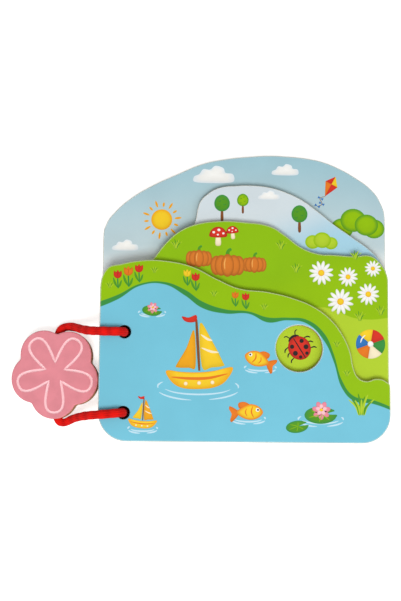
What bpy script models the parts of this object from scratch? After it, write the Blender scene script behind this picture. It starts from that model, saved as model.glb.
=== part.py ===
"""Wooden picture book: four shaped plywood leaves on a cord loop with a flower grip.

The book lies flat on its back leaf. X runs to the right across the open side, Y up the
picture, Z out of the front cover. The origin is the middle of the back leaf's rear face.
Units are metres.
"""

import math

import bmesh
import bpy
from mathutils import Vector

# Leaves
leaf_width = 0.150
front_height = 0.0936
second_height = 0.1152
third_height = 0.1353
back_height = 0.1525
leaf_thickness = 0.004
leaf_gap = 0.0003
corner_radius = 0.0148
edge_round = 0.0006

# Holes for the cord, and the round peep hole in the front leaf
cord_hole_diameter = 0.0065
cord_hole_spacing = 0.0415
cord_hole_margin = 0.0130
cord_hole_height = 0.03545
peep_diameter = 0.0240

# Turning line of the leaves, beside the spine and above the top leaf
spine_slack = 0.003
hinge_rise = 0.00015

# Cord, and the channel that lets it lie inside the back leaf
cord_diameter = 0.0048
cord_gap = 0.0003
pressed_cord_width = 0.0054
pressed_cord_thickness = 0.0020
channel_width = 0.0060
channel_depth = 0.0026
binding_turn = 0.0030

# Flower grip
petal_orbit = 0.01085
petal_radius = 0.01213
notch_radius = 0.0020
flower_thickness = 0.011
flower_edge_round = 0.0014
flower_to_spine = 0.0007
flower_drop = 0.00045
bore_diameter = 0.0060
mouth_diameter = 0.0080
mouth_depth = 0.0045
mouth_lip = 0.0015
line_inner_radius = 0.0052
line_outer_radius = 0.0199
line_width = 0.0014
line_depth = 0.0004

# The flower is a little taller than wide, and its outline stands turned against its line
flower_height_share = 1.04
outline_turn = math.radians(-2.0)

# Cutting tools reach past the wood by this much
overrun = 0.002

# Counts
petal_count = 5
curve_steps = 6
peep_steps = 10
petal_steps = 11
notch_steps = 3
line_steps = 12
cord_sides = 12

# Outline of each leaf's upper edge from the left side to the right side, as shares of its
# width and height. The first and last points lie on the straight sides.
front_shares = [
    (0.000, 0.820),
    (0.024, 0.953),
    (0.072, 0.978),
    (0.150, 1.000),
    (0.228, 0.997),
    (0.318, 0.966),
    (0.404, 0.898),
    (0.478, 0.848),
    (0.581, 0.828),
    (0.671, 0.793),
    (0.743, 0.744),
    (0.795, 0.681),
    (0.829, 0.615),
    (0.863, 0.500),
    (0.874, 0.412),
    (0.890, 0.360),
    (0.917, 0.341),
    (0.952, 0.354),
    (0.984, 0.341),
    (1.000, 0.290),
]
second_shares = [
    (0.000, 0.600),
    (0.022, 0.690),
    (0.075, 0.742),
    (0.130, 0.765),
    (0.175, 0.817),
    (0.226, 0.901),
    (0.271, 0.952),
    (0.323, 0.983),
    (0.404, 1.000),
    (0.494, 0.997),
    (0.593, 0.976),
    (0.640, 0.938),
    (0.698, 0.882),
    (0.764, 0.852),
    (0.803, 0.850),
    (0.879, 0.844),
    (0.942, 0.845),
    (0.975, 0.809),
    (0.994, 0.768),
    (1.000, 0.700),
]
third_shares = [
    (0.000, 0.480),
    (0.022, 0.560),
    (0.080, 0.596),
    (0.150, 0.626),
    (0.235, 0.690),
    (0.300, 0.780),
    (0.327, 0.860),
    (0.334, 0.905),
    (0.344, 0.936),
    (0.368, 0.964),
    (0.405, 0.988),
    (0.477, 0.999),
    (0.527, 1.000),
    (0.587, 0.993),
    (0.642, 0.975),
    (0.697, 0.947),
    (0.757, 0.900),
    (0.817, 0.846),
    (0.883, 0.795),
    (0.940, 0.749),
    (0.980, 0.700),
    (1.000, 0.630),
]
back_shares = [
    (0.000, 0.690),
    (0.012, 0.756),
    (0.040, 0.794),
    (0.098, 0.845),
    (0.169, 0.888),
    (0.261, 0.931),
    (0.349, 0.968),
    (0.425, 0.985),
    (0.521, 0.996),
    (0.596, 1.000),
    (0.644, 0.998),
    (0.721, 0.991),
    (0.782, 0.978),
    (0.839, 0.955),
    (0.896, 0.923),
    (0.949, 0.884),
    (0.981, 0.842),
    (1.000, 0.760),
]

# Place of the peep hole across and up the front leaf, as shares of its width and height
peep_across_share = 0.6873
peep_up_share = 0.5170

# Length of the straight handles on the sides and at the round corners, as shares
side_handle_share = 0.045
arc_handle_share = 0.5523

# Handles of the petal line, as shares of its outer radius
line_start_shares = (0.47, 0.20)
line_end_share = 0.37

# Route of each free strand of the cord: out of its hole, over the rim, across the margin,
# down past the spine and round into the flower's bore
upper_strand_route = [
    (-0.06200, -0.02005, 0.01690),
    (-0.06200, -0.02005, 0.01745),
    (-0.06212, -0.02005, 0.01808),
    (-0.06250, -0.02006, 0.01874),
    (-0.06325, -0.02007, 0.01932),
    (-0.06435, -0.02009, 0.01966),
    (-0.06620, -0.02011, 0.01978),
    (-0.07050, -0.02008, 0.01977),
    (-0.07350, -0.02002, 0.01976),
    (-0.07520, -0.01997, 0.01962),
    (-0.07690, -0.01990, 0.01898),
    (-0.07860, -0.01976, 0.01785),
    (-0.08030, -0.01952, 0.01630),
    (-0.08210, -0.01918, 0.01445),
    (-0.08400, -0.01872, 0.01245),
    (-0.08600, -0.01812, 0.01035),
    (-0.08800, -0.01748, 0.00835),
    (-0.09000, -0.01700, 0.00665),
    (-0.09220, -0.01684, 0.00550),
    (-0.09440, -0.01722, 0.00515),
    (-0.09620, -0.01840, 0.00545),
    (-0.09725, -0.02050, 0.00550),
    (-0.09790, -0.02280, 0.00550),
    (-0.09815, -0.02495, 0.00550),
]
lower_strand_route = [
    (-0.06200, -0.06155, 0.01690),
    (-0.06200, -0.06155, 0.01745),
    (-0.06212, -0.06156, 0.01808),
    (-0.06250, -0.06160, 0.01874),
    (-0.06325, -0.06167, 0.01932),
    (-0.06435, -0.06177, 0.01966),
    (-0.06620, -0.06195, 0.01978),
    (-0.07050, -0.06237, 0.01977),
    (-0.07350, -0.06265, 0.01976),
    (-0.07520, -0.06279, 0.01962),
    (-0.07690, -0.06293, 0.01898),
    (-0.07860, -0.06307, 0.01785),
    (-0.08030, -0.06325, 0.01630),
    (-0.08210, -0.06347, 0.01445),
    (-0.08400, -0.06377, 0.01245),
    (-0.08600, -0.06417, 0.01035),
    (-0.08800, -0.06472, 0.00835),
    (-0.09000, -0.06550, 0.00665),
    (-0.09190, -0.06645, 0.00550),
    (-0.09380, -0.06698, 0.00515),
    (-0.09585, -0.06655, 0.00545),
    (-0.09705, -0.06465, 0.00550),
    (-0.09780, -0.06200, 0.00550),
    (-0.09815, -0.05860, 0.00550),
]
strand_steps = 2

# Places worked out from the sizes
leaf_pitch = leaf_thickness + leaf_gap
stack_top = 3 * leaf_pitch + leaf_thickness
left_side = -leaf_width / 2
bottom_side = -back_height / 2
hole_x = left_side + cord_hole_margin
hole_y = bottom_side + cord_hole_height
hinge_place = Vector((left_side - spine_slack, 0, stack_top + hinge_rise))
swing_place = Vector((hole_x, 0, stack_top + cord_gap + cord_diameter / 2))
half_angle = math.pi / petal_count
flower_reach = petal_orbit * math.cos(half_angle / 2) + petal_radius
flower_x = left_side - flower_to_spine - flower_reach
flower_place = Vector((flower_x, hole_y - flower_drop, flower_thickness / 2))


def clear_scene():
    """Take every object out of the scene."""
    for obj in list(bpy.data.objects):
        bpy.data.objects.remove(obj, do_unlink=True)


def new_collection(name):
    """Return a new collection in the scene."""
    collection = bpy.data.collections.new(name)
    bpy.context.scene.collection.children.link(collection)
    return collection


def material(name, colour, roughness):
    """Return a Principled material with a plain colour."""
    made = bpy.data.materials.new(name)
    made.use_nodes = True
    shader = made.node_tree.nodes["Principled BSDF"]
    shader.inputs["Base Color"].default_value = (*colour, 1.0)
    shader.inputs["Roughness"].default_value = roughness
    shader.inputs["Metallic"].default_value = 0.0
    return made


def add_object(name, data, collection, place=(0, 0, 0)):
    """Link a new object to a collection at a place."""
    obj = bpy.data.objects.new(name, data)
    obj.location = place
    collection.objects.link(obj)
    return obj


def hang_on(obj, parent):
    """Parent an object and keep its place in the world. Both are unturned."""
    obj.parent = parent
    obj.location = obj.location - world_place(parent)


def world_place(obj):
    """Return the place of an unturned object in the world."""
    place = obj.location.copy()
    while obj.parent:
        obj = obj.parent
        place = place + obj.location
    return place


def pivot(name, place, collection, parent=None):
    """Return an empty on a joint's axis."""
    empty = add_object(name, None, collection, place)
    if parent:
        hang_on(empty, parent)
    return empty


def as_mesh(obj):
    """Turn a curve object into a welded mesh object of the same name and place."""
    bpy.context.view_layer.update()
    evaluated = obj.evaluated_get(bpy.context.evaluated_depsgraph_get())
    mesh = bpy.data.meshes.new_from_object(evaluated)
    shape = bmesh.new()
    shape.from_mesh(mesh)
    bmesh.ops.remove_doubles(shape, verts=shape.verts, dist=0.00001)
    shape.to_mesh(mesh)
    shape.free()
    name, matrix, home = obj.name, obj.matrix_world.copy(), obj.users_collection[0]
    bpy.data.objects.remove(obj, do_unlink=True)
    made = bpy.data.objects.new(name, mesh)
    made.matrix_world = matrix
    home.objects.link(made)
    return made


def flat_curve(name, thickness):
    """Return a new filled 2D curve that is as thick as it is asked to be."""
    curve = bpy.data.curves.new(name, "CURVE")
    curve.dimensions = "2D"
    curve.fill_mode = "BOTH"
    curve.extrude = thickness / 2
    return curve


def add_circle(curve, centre, radius, steps):
    """Add a round hole or disc to a 2D curve."""
    spline = curve.splines.new("BEZIER")
    spline.bezier_points.add(3)
    spline.use_cyclic_u = True
    spline.resolution_u = steps
    reach = radius * arc_handle_share
    for index, point in enumerate(spline.bezier_points):
        angle = index * math.pi / 2
        out = Vector((math.cos(angle), math.sin(angle), 0))
        along = Vector((-math.sin(angle), math.cos(angle), 0))
        point.handle_left_type = "FREE"
        point.handle_right_type = "FREE"
        point.co = Vector((*centre, 0)) + out * radius
        point.handle_left = point.co - along * reach
        point.handle_right = point.co + along * reach


def add_polygon(curve, points):
    """Add a closed polyline to a 2D curve."""
    spline = curve.splines.new("POLY")
    spline.points.add(len(points) - 1)
    spline.use_cyclic_u = True
    for point, (x, y) in zip(spline.points, points):
        point.co = (x, y, 0, 1)


def add_leaf_outline(curve, height, shares):
    """Draw one leaf: a smooth upper edge, straight sides and two round lower corners."""
    spline = curve.splines.new("BEZIER")
    spline.bezier_points.add(len(shares) + 3)
    spline.use_cyclic_u = True
    spline.resolution_u = curve_steps
    points = spline.bezier_points
    up = Vector((0, height * side_handle_share, 0))
    for point, (x_share, y_share) in zip(points, shares):
        point.handle_left_type = "AUTO"
        point.handle_right_type = "AUTO"
        point.co = (left_side + leaf_width * x_share, bottom_side + height * y_share, 0)
    for point, side in ((points[0], 1), (points[len(shares) - 1], -1)):
        point.handle_left_type = "FREE"
        point.handle_right_type = "FREE"
        point.handle_left = point.co - up * side
        point.handle_right = point.co + up * side
    bend = corner_radius * (1 - arc_handle_share)
    right_side = left_side + leaf_width
    corners = [
        ((right_side, bottom_side + corner_radius), (right_side, bottom_side + bend), False),
        ((right_side - corner_radius, bottom_side), (right_side - bend, bottom_side), True),
        ((left_side + corner_radius, bottom_side), (left_side + bend, bottom_side), False),
        ((left_side, bottom_side + corner_radius), (left_side, bottom_side + bend), True),
    ]
    for point, (place, handle, arrives) in zip(list(points)[len(shares):], corners):
        point.co = (*place, 0)
        point.handle_left_type = "FREE" if arrives else "VECTOR"
        point.handle_right_type = "VECTOR" if arrives else "FREE"
        if arrives:
            point.handle_left = (*handle, 0)
        else:
            point.handle_right = (*handle, 0)
    points[len(shares) - 1].handle_right_type = "VECTOR"
    points[0].handle_left_type = "VECTOR"


def make_leaf(name, level, height, shares, finish, collection, peep=False):
    """Make one leaf with its cord holes. Level 0 is the back leaf."""
    curve = flat_curve(name, leaf_thickness)
    add_leaf_outline(curve, height, shares)
    for side in (-1, 1):
        centre = (hole_x, hole_y + side * cord_hole_spacing / 2)
        add_circle(curve, centre, cord_hole_diameter / 2, curve_steps)
    if peep:
        across = left_side + leaf_width * peep_across_share
        up = bottom_side + height * peep_up_share
        add_circle(curve, (across, up), peep_diameter / 2, peep_steps)
    middle = level * leaf_pitch + leaf_thickness / 2
    leaf = as_mesh(add_object(name, curve, collection, (0, 0, middle)))
    leaf.data.materials.append(finish)
    rounding = leaf.modifiers.new("Rounded edges", "BEVEL")
    rounding.width = edge_round
    rounding.segments = 2
    rounding.limit_method = "ANGLE"
    rounding.angle_limit = math.radians(50)
    return leaf


def put_origin(obj, place):
    """Move an unturned mesh object's origin to a place and leave its shape where it is."""
    offset = obj.location - place
    for vertex in obj.data.vertices:
        vertex.co += offset
    obj.location = place


def cut(obj, cutter):
    """Cut a tool out of an object. The tool itself is not part of the model."""
    cutter.hide_render = True
    cutter.display_type = "WIRE"
    difference = obj.modifiers.new(f"Cut {cutter.name}", "BOOLEAN")
    difference.operation = "DIFFERENCE"
    difference.solver = "EXACT"
    difference.object = cutter


def cut_back_channel(leaf, cutters):
    """Cut the channel between the two cord holes in the back leaf's rear face."""
    shape = bmesh.new()
    bmesh.ops.create_cube(shape, size=1.0)
    height = channel_depth + overrun
    bmesh.ops.scale(shape, vec=(channel_width, cord_hole_spacing, height), verts=shape.verts)
    mesh = bpy.data.meshes.new("back_channel")
    shape.to_mesh(mesh)
    shape.free()
    place = (hole_x, hole_y, channel_depth - height / 2)
    cut(leaf, add_object("back_channel", mesh, cutters, place))


def flower_outline():
    """Return the flower's outline: round petals joined by small round notches."""
    reach = petal_radius + notch_radius
    side = petal_orbit * math.sin(half_angle)
    notch_orbit = petal_orbit * math.cos(half_angle) + math.sqrt(reach**2 - side**2)
    toward = math.atan2(
        notch_orbit * math.sin(half_angle), notch_orbit * math.cos(half_angle) - petal_orbit
    )
    points = []
    for petal in range(petal_count):
        axis = -math.pi / 2 + petal * 2 * half_angle
        centre = (petal_orbit * math.cos(axis), petal_orbit * math.sin(axis))
        for step in range(petal_steps + 1):
            angle = axis - toward + 2 * toward * step / petal_steps
            points.append(on_arc(centre, petal_radius, angle))
        notch = axis + half_angle
        centre = (notch_orbit * math.cos(notch), notch_orbit * math.sin(notch))
        opening = toward - half_angle
        for step in range(1, notch_steps):
            angle = notch + math.pi + opening * (1 - 2 * step / notch_steps)
            points.append(on_arc(centre, notch_radius, angle))
    return [as_cut(*point, outline_turn) for point in points]


def as_cut(x, y, turn=0.0):
    """Return a point of the regular flower as it lies on the real one."""
    across, along = math.cos(turn), math.sin(turn)
    return x * across - y * along, (x * along + y * across) * flower_height_share


def on_arc(centre, radius, angle):
    """Return the point of a circle at an angle."""
    return centre[0] + radius * math.cos(angle), centre[1] + radius * math.sin(angle)


def petal_line():
    """Return the closed line that draws the five petals on the flower's faces."""
    start_x, start_y = (line_outer_radius * share for share in line_start_shares)
    inner = Vector((math.cos(half_angle), math.sin(half_angle))) * line_inner_radius
    tip = Vector((line_outer_radius, 0))
    side = Vector((0, line_outer_radius * line_end_share))
    points = []
    for petal in range(petal_count):
        axis = -math.pi / 2 + petal * 2 * half_angle
        turn = Vector((math.cos(axis), math.sin(axis)))
        below = [Vector((inner.x, -inner.y)), Vector((start_x, -start_y)), tip - side, tip]
        above = [tip, tip + side, Vector((start_x, start_y)), inner]
        for corners in (below, above):
            for step in range(line_steps // 2):
                x, y = bezier(corners, step / (line_steps // 2))
                points.append(as_cut(x * turn.x - y * turn.y, x * turn.y + y * turn.x))
    return points


def bezier(corners, share):
    """Return the point at a share of a cubic curve."""
    first, second, third, last = corners
    rest = 1 - share
    return (
        first * rest**3
        + second * 3 * rest**2 * share
        + third * 3 * rest * share**2
        + last * share**3
    )


def tube_curve(name, points, radius, resolution, cyclic=False):
    """Return a tube through points, with filled caps unless it is closed."""
    curve = bpy.data.curves.new(name, "CURVE")
    curve.dimensions = "3D"
    curve.bevel_depth = radius
    curve.bevel_resolution = resolution
    curve.use_fill_caps = not cyclic
    spline = curve.splines.new("POLY")
    spline.points.add(len(points) - 1)
    spline.use_cyclic_u = cyclic
    for point, place in zip(spline.points, points):
        point.co = (*place, 1)
    return curve


def make_flower(finish, collection, cutters):
    """Make the flower grip with its bore, its two mouths and the petal line on both faces."""
    curve = flat_curve("flower_grip", flower_thickness)
    add_polygon(curve, flower_outline())
    flower = as_mesh(add_object("flower_grip", curve, collection, flower_place))
    flower.data.materials.append(finish)
    rounding = flower.modifiers.new("Rounded edges", "BEVEL")
    rounding.width = flower_edge_round
    rounding.segments = 3
    rounding.limit_method = "ANGLE"
    rounding.angle_limit = math.radians(50)
    cut(flower, make_bore_cutter(cutters))
    line_radius = (line_width**2 / 4 + line_depth**2) / (2 * line_depth)
    for side, name in ((1, "front_petal_line"), (-1, "rear_petal_line")):
        height = side * (flower_thickness / 2 + line_radius - line_depth)
        line = [(x, y, height) for x, y in petal_line()]
        tube = tube_curve(name, line, line_radius, 2, cyclic=True)
        cut(flower, as_mesh(add_object(name, tube, cutters, flower_place)))
    return flower


def make_bore_cutter(cutters):
    """Make the tool for the flower's bore: a turned rod that widens to a mouth at each end."""
    notch_side = petal_orbit * math.sin(half_angle)
    notch_reach = petal_radius + notch_radius
    notch_floor = (
        petal_orbit * math.cos(half_angle)
        + math.sqrt(notch_reach**2 - notch_side**2)
        - notch_radius
    )
    top_lip = notch_floor * flower_height_share + mouth_lip
    bottom_lip = -(petal_orbit + petal_radius) * flower_height_share
    bore, mouth = bore_diameter / 2, mouth_diameter / 2
    profile = [
        (0, top_lip + overrun),
        (mouth, top_lip + overrun),
        (mouth, top_lip),
        (bore, top_lip - mouth_depth),
        (bore, bottom_lip + mouth_depth),
        (mouth, bottom_lip),
        (mouth, bottom_lip - overrun),
        (0, bottom_lip - overrun),
    ]
    shape = bmesh.new()
    corners = [shape.verts.new((radius, along, 0)) for radius, along in profile]
    for first, second in zip(corners, corners[1:]):
        shape.edges.new((first, second))
    bmesh.ops.spin(
        shape,
        geom=shape.verts[:] + shape.edges[:],
        axis=(0, 1, 0),
        cent=(0, 0, 0),
        angle=2 * math.pi,
        steps=24,
    )
    bmesh.ops.remove_doubles(shape, verts=shape.verts, dist=0.00001)
    bmesh.ops.recalc_face_normals(shape, faces=shape.faces)
    mesh = bpy.data.meshes.new("flower_bore")
    shape.to_mesh(mesh)
    shape.free()
    return add_object("flower_bore", mesh, cutters, flower_place)


def smooth_route(places, steps):
    """Return points along a smooth curve through the route's own places."""
    places = [Vector(place) for place in places]
    first = places[0] * 2 - places[1]
    last = places[-1] * 2 - places[-2]
    padded = [first, *places, last]
    points = []
    for before, start, end, after in zip(padded, padded[1:], padded[2:], padded[3:]):
        for step in range(steps):
            share = step / steps
            points.append(
                (
                    start * 2
                    + (end - before) * share
                    + (before * 2 - start * 5 + end * 4 - after) * share**2
                    + (start * 3 - before - end * 3 + after) * share**3
                )
                / 2
            )
    return [*points, places[-1]]


def make_strand(name, route, finish, collection):
    """Make a free strand of the cord along its route. Its origin is on the swing axis."""
    points = [point - swing_place for point in smooth_route(route, strand_steps)]
    strand = add_object(
        name, tube_curve(name, points, cord_diameter / 2, 4), collection, swing_place
    )
    strand.data.materials.append(finish)
    return strand


def make_grip_cord(finish, collection):
    """Make the stretch of cord inside the flower's bore, between the two strands' ends."""
    top = upper_strand_route[-1][1] - cord_gap
    bottom = lower_strand_route[-1][1] + cord_gap
    middle = Vector((flower_place.x, (top + bottom) / 2, flower_place.z))
    half = (top - bottom) / 2
    points = [(0, half, 0), (0, 0, 0), (0, -half, 0)]
    curve = tube_curve("cord_in_grip", points, cord_diameter / 2, 4)
    cord = add_object("cord_in_grip", curve, collection, middle)
    cord.data.materials.append(finish)
    return cord


def binding_rings():
    """Return (place, direction, half width, half thickness) along the cord in the leaves.

    It goes down the upper hole, along the channel in the back leaf and up the lower hole.
    It is round in the holes and pressed flat in the channel.
    """
    top = stack_top - cord_gap
    run = cord_gap + pressed_cord_thickness / 2
    half_spacing = cord_hole_spacing / 2
    radius = cord_diameter / 2
    flat = (pressed_cord_width / 2, pressed_cord_thickness / 2)
    rings = []
    for level in (1, 0.5, 0.25):
        height = run + binding_turn + (top - run - binding_turn) * level
        rings.append(((half_spacing, height), (0, -1), (radius, radius)))
    for step in range(6):
        share = step / 5
        angle = share * math.pi / 2
        along = half_spacing - binding_turn * (1 - math.cos(angle))
        height = run + binding_turn * (1 - math.sin(angle))
        size = tuple(radius + (end - radius) * share for end in flat)
        rings.append(((along, height), (-math.sin(angle), -math.cos(angle)), size))
    mirrored = [((-y, z), (ty, -tz), size) for (y, z), (ty, tz), size in reversed(rings)]
    return rings + mirrored


def make_binding(finish, collection):
    """Loft the cord that ties the leaves together."""
    shape = bmesh.new()
    loops = []
    for (along, height), (along_way, height_way), (wide, thick) in binding_rings():
        loop = []
        for side in range(cord_sides):
            angle = 2 * math.pi * side / cord_sides
            across = wide * math.cos(angle)
            off = thick * math.sin(angle)
            place = (across, along - off * height_way, height + off * along_way)
            loop.append(shape.verts.new(place))
        loops.append(loop)
    for near, far in zip(loops, loops[1:]):
        for side in range(cord_sides):
            after = (side + 1) % cord_sides
            shape.faces.new((near[side], near[after], far[after], far[side]))
    shape.faces.new(loops[0])
    shape.faces.new(loops[-1])
    bmesh.ops.recalc_face_normals(shape, faces=shape.faces)
    mesh = bpy.data.meshes.new("cord_binding")
    shape.to_mesh(mesh)
    shape.free()
    binding = add_object("cord_binding", mesh, collection, (hole_x, hole_y, 0))
    binding.data.materials.append(finish)
    return binding


def build():
    """Build the whole book."""
    clear_scene()
    book = new_collection("Wooden picture book")
    cutters = new_collection("Cutters")
    water = material("Printed wood, pond", (0.20, 0.52, 0.68), 0.45)
    meadow = material("Printed wood, meadow", (0.30, 0.56, 0.02), 0.45)
    haze = material("Printed wood, pale hill", (0.62, 0.74, 0.80), 0.45)
    sky = material("Printed wood, sky", (0.42, 0.66, 0.74), 0.45)
    pink = material("Painted wood, pink", (0.80, 0.26, 0.32), 0.40)
    red = material("Red cord", (0.74, 0.02, 0.02), 0.85)

    back = make_leaf("back_leaf", 0, back_height, back_shares, sky, book)
    cut_back_channel(back, cutters)
    make_binding(red, book)

    parent = None
    leaves = [
        ("third_leaf", 1, third_height, third_shares, haze, False),
        ("second_leaf", 2, second_height, second_shares, meadow, False),
        ("front_leaf", 3, front_height, front_shares, water, True),
    ]
    for name, level, height, shares, finish, peep in leaves:
        leaf = make_leaf(name, level, height, shares, finish, book, peep)
        put_origin(leaf, hinge_place)
        parent = pivot(f"{name}_turning_line", hinge_place, book, parent)
        hang_on(leaf, parent)

    swing = pivot("cord_loop_swing_line", swing_place, book)
    hang_on(make_strand("cord_upper_strand", upper_strand_route, red, book), swing)
    hang_on(make_strand("cord_lower_strand", lower_strand_route, red, book), swing)
    hang_on(make_grip_cord(red, book), swing)
    hang_on(make_flower(pink, book, cutters), swing)


build()
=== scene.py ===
import logging
import math
import random
from dataclasses import dataclass
from enum import Enum
from itertools import accumulate
from typing import Callable, Sequence

import bmesh
import bpy
import numpy as np
from mathutils import Matrix, Vector


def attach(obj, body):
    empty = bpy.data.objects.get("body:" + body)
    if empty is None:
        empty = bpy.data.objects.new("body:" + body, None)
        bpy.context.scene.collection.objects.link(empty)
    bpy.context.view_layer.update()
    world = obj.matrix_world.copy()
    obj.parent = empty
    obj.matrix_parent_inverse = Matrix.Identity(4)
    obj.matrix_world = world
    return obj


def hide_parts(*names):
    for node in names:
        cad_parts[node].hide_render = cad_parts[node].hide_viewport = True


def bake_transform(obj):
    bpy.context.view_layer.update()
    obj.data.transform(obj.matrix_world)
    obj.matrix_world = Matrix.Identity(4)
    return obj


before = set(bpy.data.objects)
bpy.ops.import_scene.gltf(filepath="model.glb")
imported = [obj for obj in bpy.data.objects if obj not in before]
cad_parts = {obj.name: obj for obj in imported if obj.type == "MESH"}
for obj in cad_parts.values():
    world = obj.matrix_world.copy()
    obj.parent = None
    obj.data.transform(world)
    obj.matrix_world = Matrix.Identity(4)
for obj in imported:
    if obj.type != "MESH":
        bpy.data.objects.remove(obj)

log = logging.getLogger("picture_book")
logging.basicConfig(level=logging.INFO, format="%(name)s: %(message)s")

Colour = tuple[float, float, float, float]
Point = tuple[float, float]
Place = tuple[float, float, float]
Socket = bpy.types.NodeSocket
Piece = bpy.types.Object
Material = bpy.types.Material
Curve = bpy.types.Curve
MM = 0.001
JOINED = 0.00001
FLAT_NORMAL = 0.9999
CORD_SIDES = 56
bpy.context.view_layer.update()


def paint(red: int, green: int, blue: int) -> Colour:
    """Return the linear colour of an sRGB one, whose channels go from 0 to 255."""
    channels = []
    for value in (red, green, blue):
        share = value / 255
        channels.append(share / 12.92 if share <= 0.04045 else ((share + 0.055) / 1.055) ** 2.4)
    return (*channels, 1.0)


def tone(colour: Colour, share: float) -> Colour:
    """Return a colour made lighter (above 1) or darker (below 1)."""
    return (*(min(1.0, channel * share) for channel in colour[:3]), 1.0)


WATER = paint(118, 196, 218)
WATER_PALE = paint(196, 229, 243)
GRASS = paint(146, 191, 8)
GRASS_LIME = paint(178, 208, 48)
GRASS_DEEP = paint(84, 152, 34)
SHORE = paint(58, 142, 66)
HAZE = paint(214, 225, 230)
HAZE_BLUE = paint(168, 212, 231)
SKY = paint(154, 197, 209)
SKY_PALE = paint(195, 214, 219)
# Near-white sky by the horizon: a paler horizon, made paler still as painted light where the front leaves'
# shadow falls on the back leaf.
MIST_AND_PAINTED_LIGHT = paint(240, 247, 248)
YELLOW = paint(246, 205, 42)
GOLD = paint(240, 168, 28)
ORANGE = paint(231, 122, 34)
TERRACOTTA = paint(214, 122, 44)
BROWN = paint(132, 78, 40)
DARK = paint(44, 34, 34)
RED = paint(214, 52, 38)
ROSE = paint(238, 140, 158)
WHITE = paint(246, 246, 242)
CREAM = paint(250, 236, 200)
BLUE = paint(52, 118, 190)


class Face(Enum):
    """A leaf's printed face, and the way along Z that it looks."""

    FRONT = 1
    REAR = -1


@dataclass(frozen=True)
class Book:
    """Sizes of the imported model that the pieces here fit, in metres."""

    leaf_width: float = 0.150
    leaf_thickness: float = 0.004
    leaf_gap: float = 0.0003
    bottom: float = -0.07625
    corner_radius: float = 0.0148
    edge_round: float = 0.0006
    hole_radius: float = 0.00325
    hole_x: float = -0.062
    hole_ys: Point = (-0.02005, -0.06155)
    peep_radius: float = 0.012
    peep_place: Point = (0.028095, -0.0278588)
    cord_radius: float = 0.0024
    cord_gap: float = 0.0003
    stack_top: float = 0.0169
    hinge_x: float = -0.078
    hinge_z: float = 0.01705

    def floor_of(self, level: int) -> float:
        """Return the height of a leaf's rear face."""
        return level * (self.leaf_thickness + self.leaf_gap)


BOOK = Book()


class Net:
    """Adds nodes to one node tree."""

    def __init__(self, tree: bpy.types.NodeTree) -> None:
        """Take up a tree."""
        self.tree = tree

    def feed(self, socket: Socket, value: object) -> None:
        """Link a socket to an input, or set the input to a plain value."""
        if isinstance(value, Socket):
            self.tree.links.new(value, socket)
        else:
            socket.default_value = value

    def add(self, kind: str, inputs: dict[int | str, object], **settings: object) -> bpy.types.Node:
        """Add a node.

        Args:
            kind: The node's type.
            inputs: Values or sockets for its inputs, by name or number.
            **settings: The node's own settings.

        Returns:
            The new node.
        """
        node = self.tree.nodes.new(kind)
        for name, value in settings.items():
            setattr(node, name, value)
        for key, value in inputs.items():
            self.feed(node.inputs[key], value)
        return node

    def math(self, operation: str, *values: object) -> Socket:
        """Return the result of a Math node."""
        return self.add("ShaderNodeMath", dict(enumerate(values)), operation=operation).outputs[0]

    def parts(self, vector: Socket) -> Sequence[Socket]:
        """Return the three numbers of a vector."""
        return self.add("ShaderNodeSeparateXYZ", {0: vector}).outputs

    def seen(self) -> Socket:
        """Return 1 for a ray that comes from the camera, straight or by gloss or glass."""
        path = self.add("ShaderNodeLightPath", {}).outputs
        bent = self.math("MAXIMUM", path["Is Glossy Ray"], path["Is Transmission Ray"])
        return self.math("MAXIMUM", path["Is Camera Ray"], bent)


class Coat(Net):
    """Writes one node-based material around its Principled shader, on the Object coordinates."""

    def __init__(self, name: str) -> None:
        """Start a material of a name."""
        self.material = bpy.data.materials.new(name)
        self.material.use_nodes = True
        super().__init__(self.material.node_tree)
        self.place = self.add("ShaderNodeTexCoord", {}).outputs["Object"]

    def facing_up(self) -> Socket:
        """Return how far a face looks up in the piece's own frame, so that paint turns with it."""
        normal = self.add("ShaderNodeNewGeometry", {}).outputs["True Normal"]
        turn = {"vector_type": "NORMAL", "convert_from": "WORLD", "convert_to": "OBJECT"}
        return self.parts(self.add("ShaderNodeVectorTransform", {0: normal}, **turn).outputs[0])[2]

    def mix(self, share: object, first: object, second: object, blend: str = "MIX") -> Socket:
        """Return two colours mixed."""
        inputs = {0: share, 6: first, 7: second}
        return self.add("ShaderNodeMix", inputs, data_type="RGBA", blend_type=blend).outputs[2]

    def ease(self, value: Socket, low: float, high: float, start: float = 0.0, end: float = 1.0) -> Socket:
        """Return a smooth step from start to end as value goes from low to high."""
        inputs = dict(enumerate((value, low, high, start, end)))
        return self.add("ShaderNodeMapRange", inputs, interpolation_type="SMOOTHSTEP").outputs[0]

    def noise(self, scale: float, detail: float = 2.0, stretch: Place = (1, 1, 1)) -> Socket:
        """Return a noise of about 0 to 1, given in features per metre and stretched along the axes."""
        where = self.add("ShaderNodeMapping", {0: self.place, 3: stretch}).outputs[0]
        inputs = {"Vector": where, "Scale": scale, "Detail": detail}
        return self.add("ShaderNodeTexNoise", inputs).outputs[0]

    def bump(self, height: Socket, depth: float, strength: float) -> Socket:
        """Return the normal of a bump of a depth in metres."""
        inputs = {"Strength": strength, "Distance": depth, "Height": height}
        return self.add("ShaderNodeBump", inputs).outputs[0]

    def finish(self, **values: object) -> Material:
        """Feed the shader's sockets, named with underscores for spaces, and return the material."""
        shader = self.tree.nodes["Principled BSDF"]
        for name, value in values.items():
            self.feed(shader.inputs[name.replace("_", " ")], value)
        return self.material


@dataclass(frozen=True)
class Band:
    """A painted area above a line across a leaf, in millimetres."""

    line: tuple[Point, ...]
    colour: Colour
    soft: float = 0.22


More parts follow.
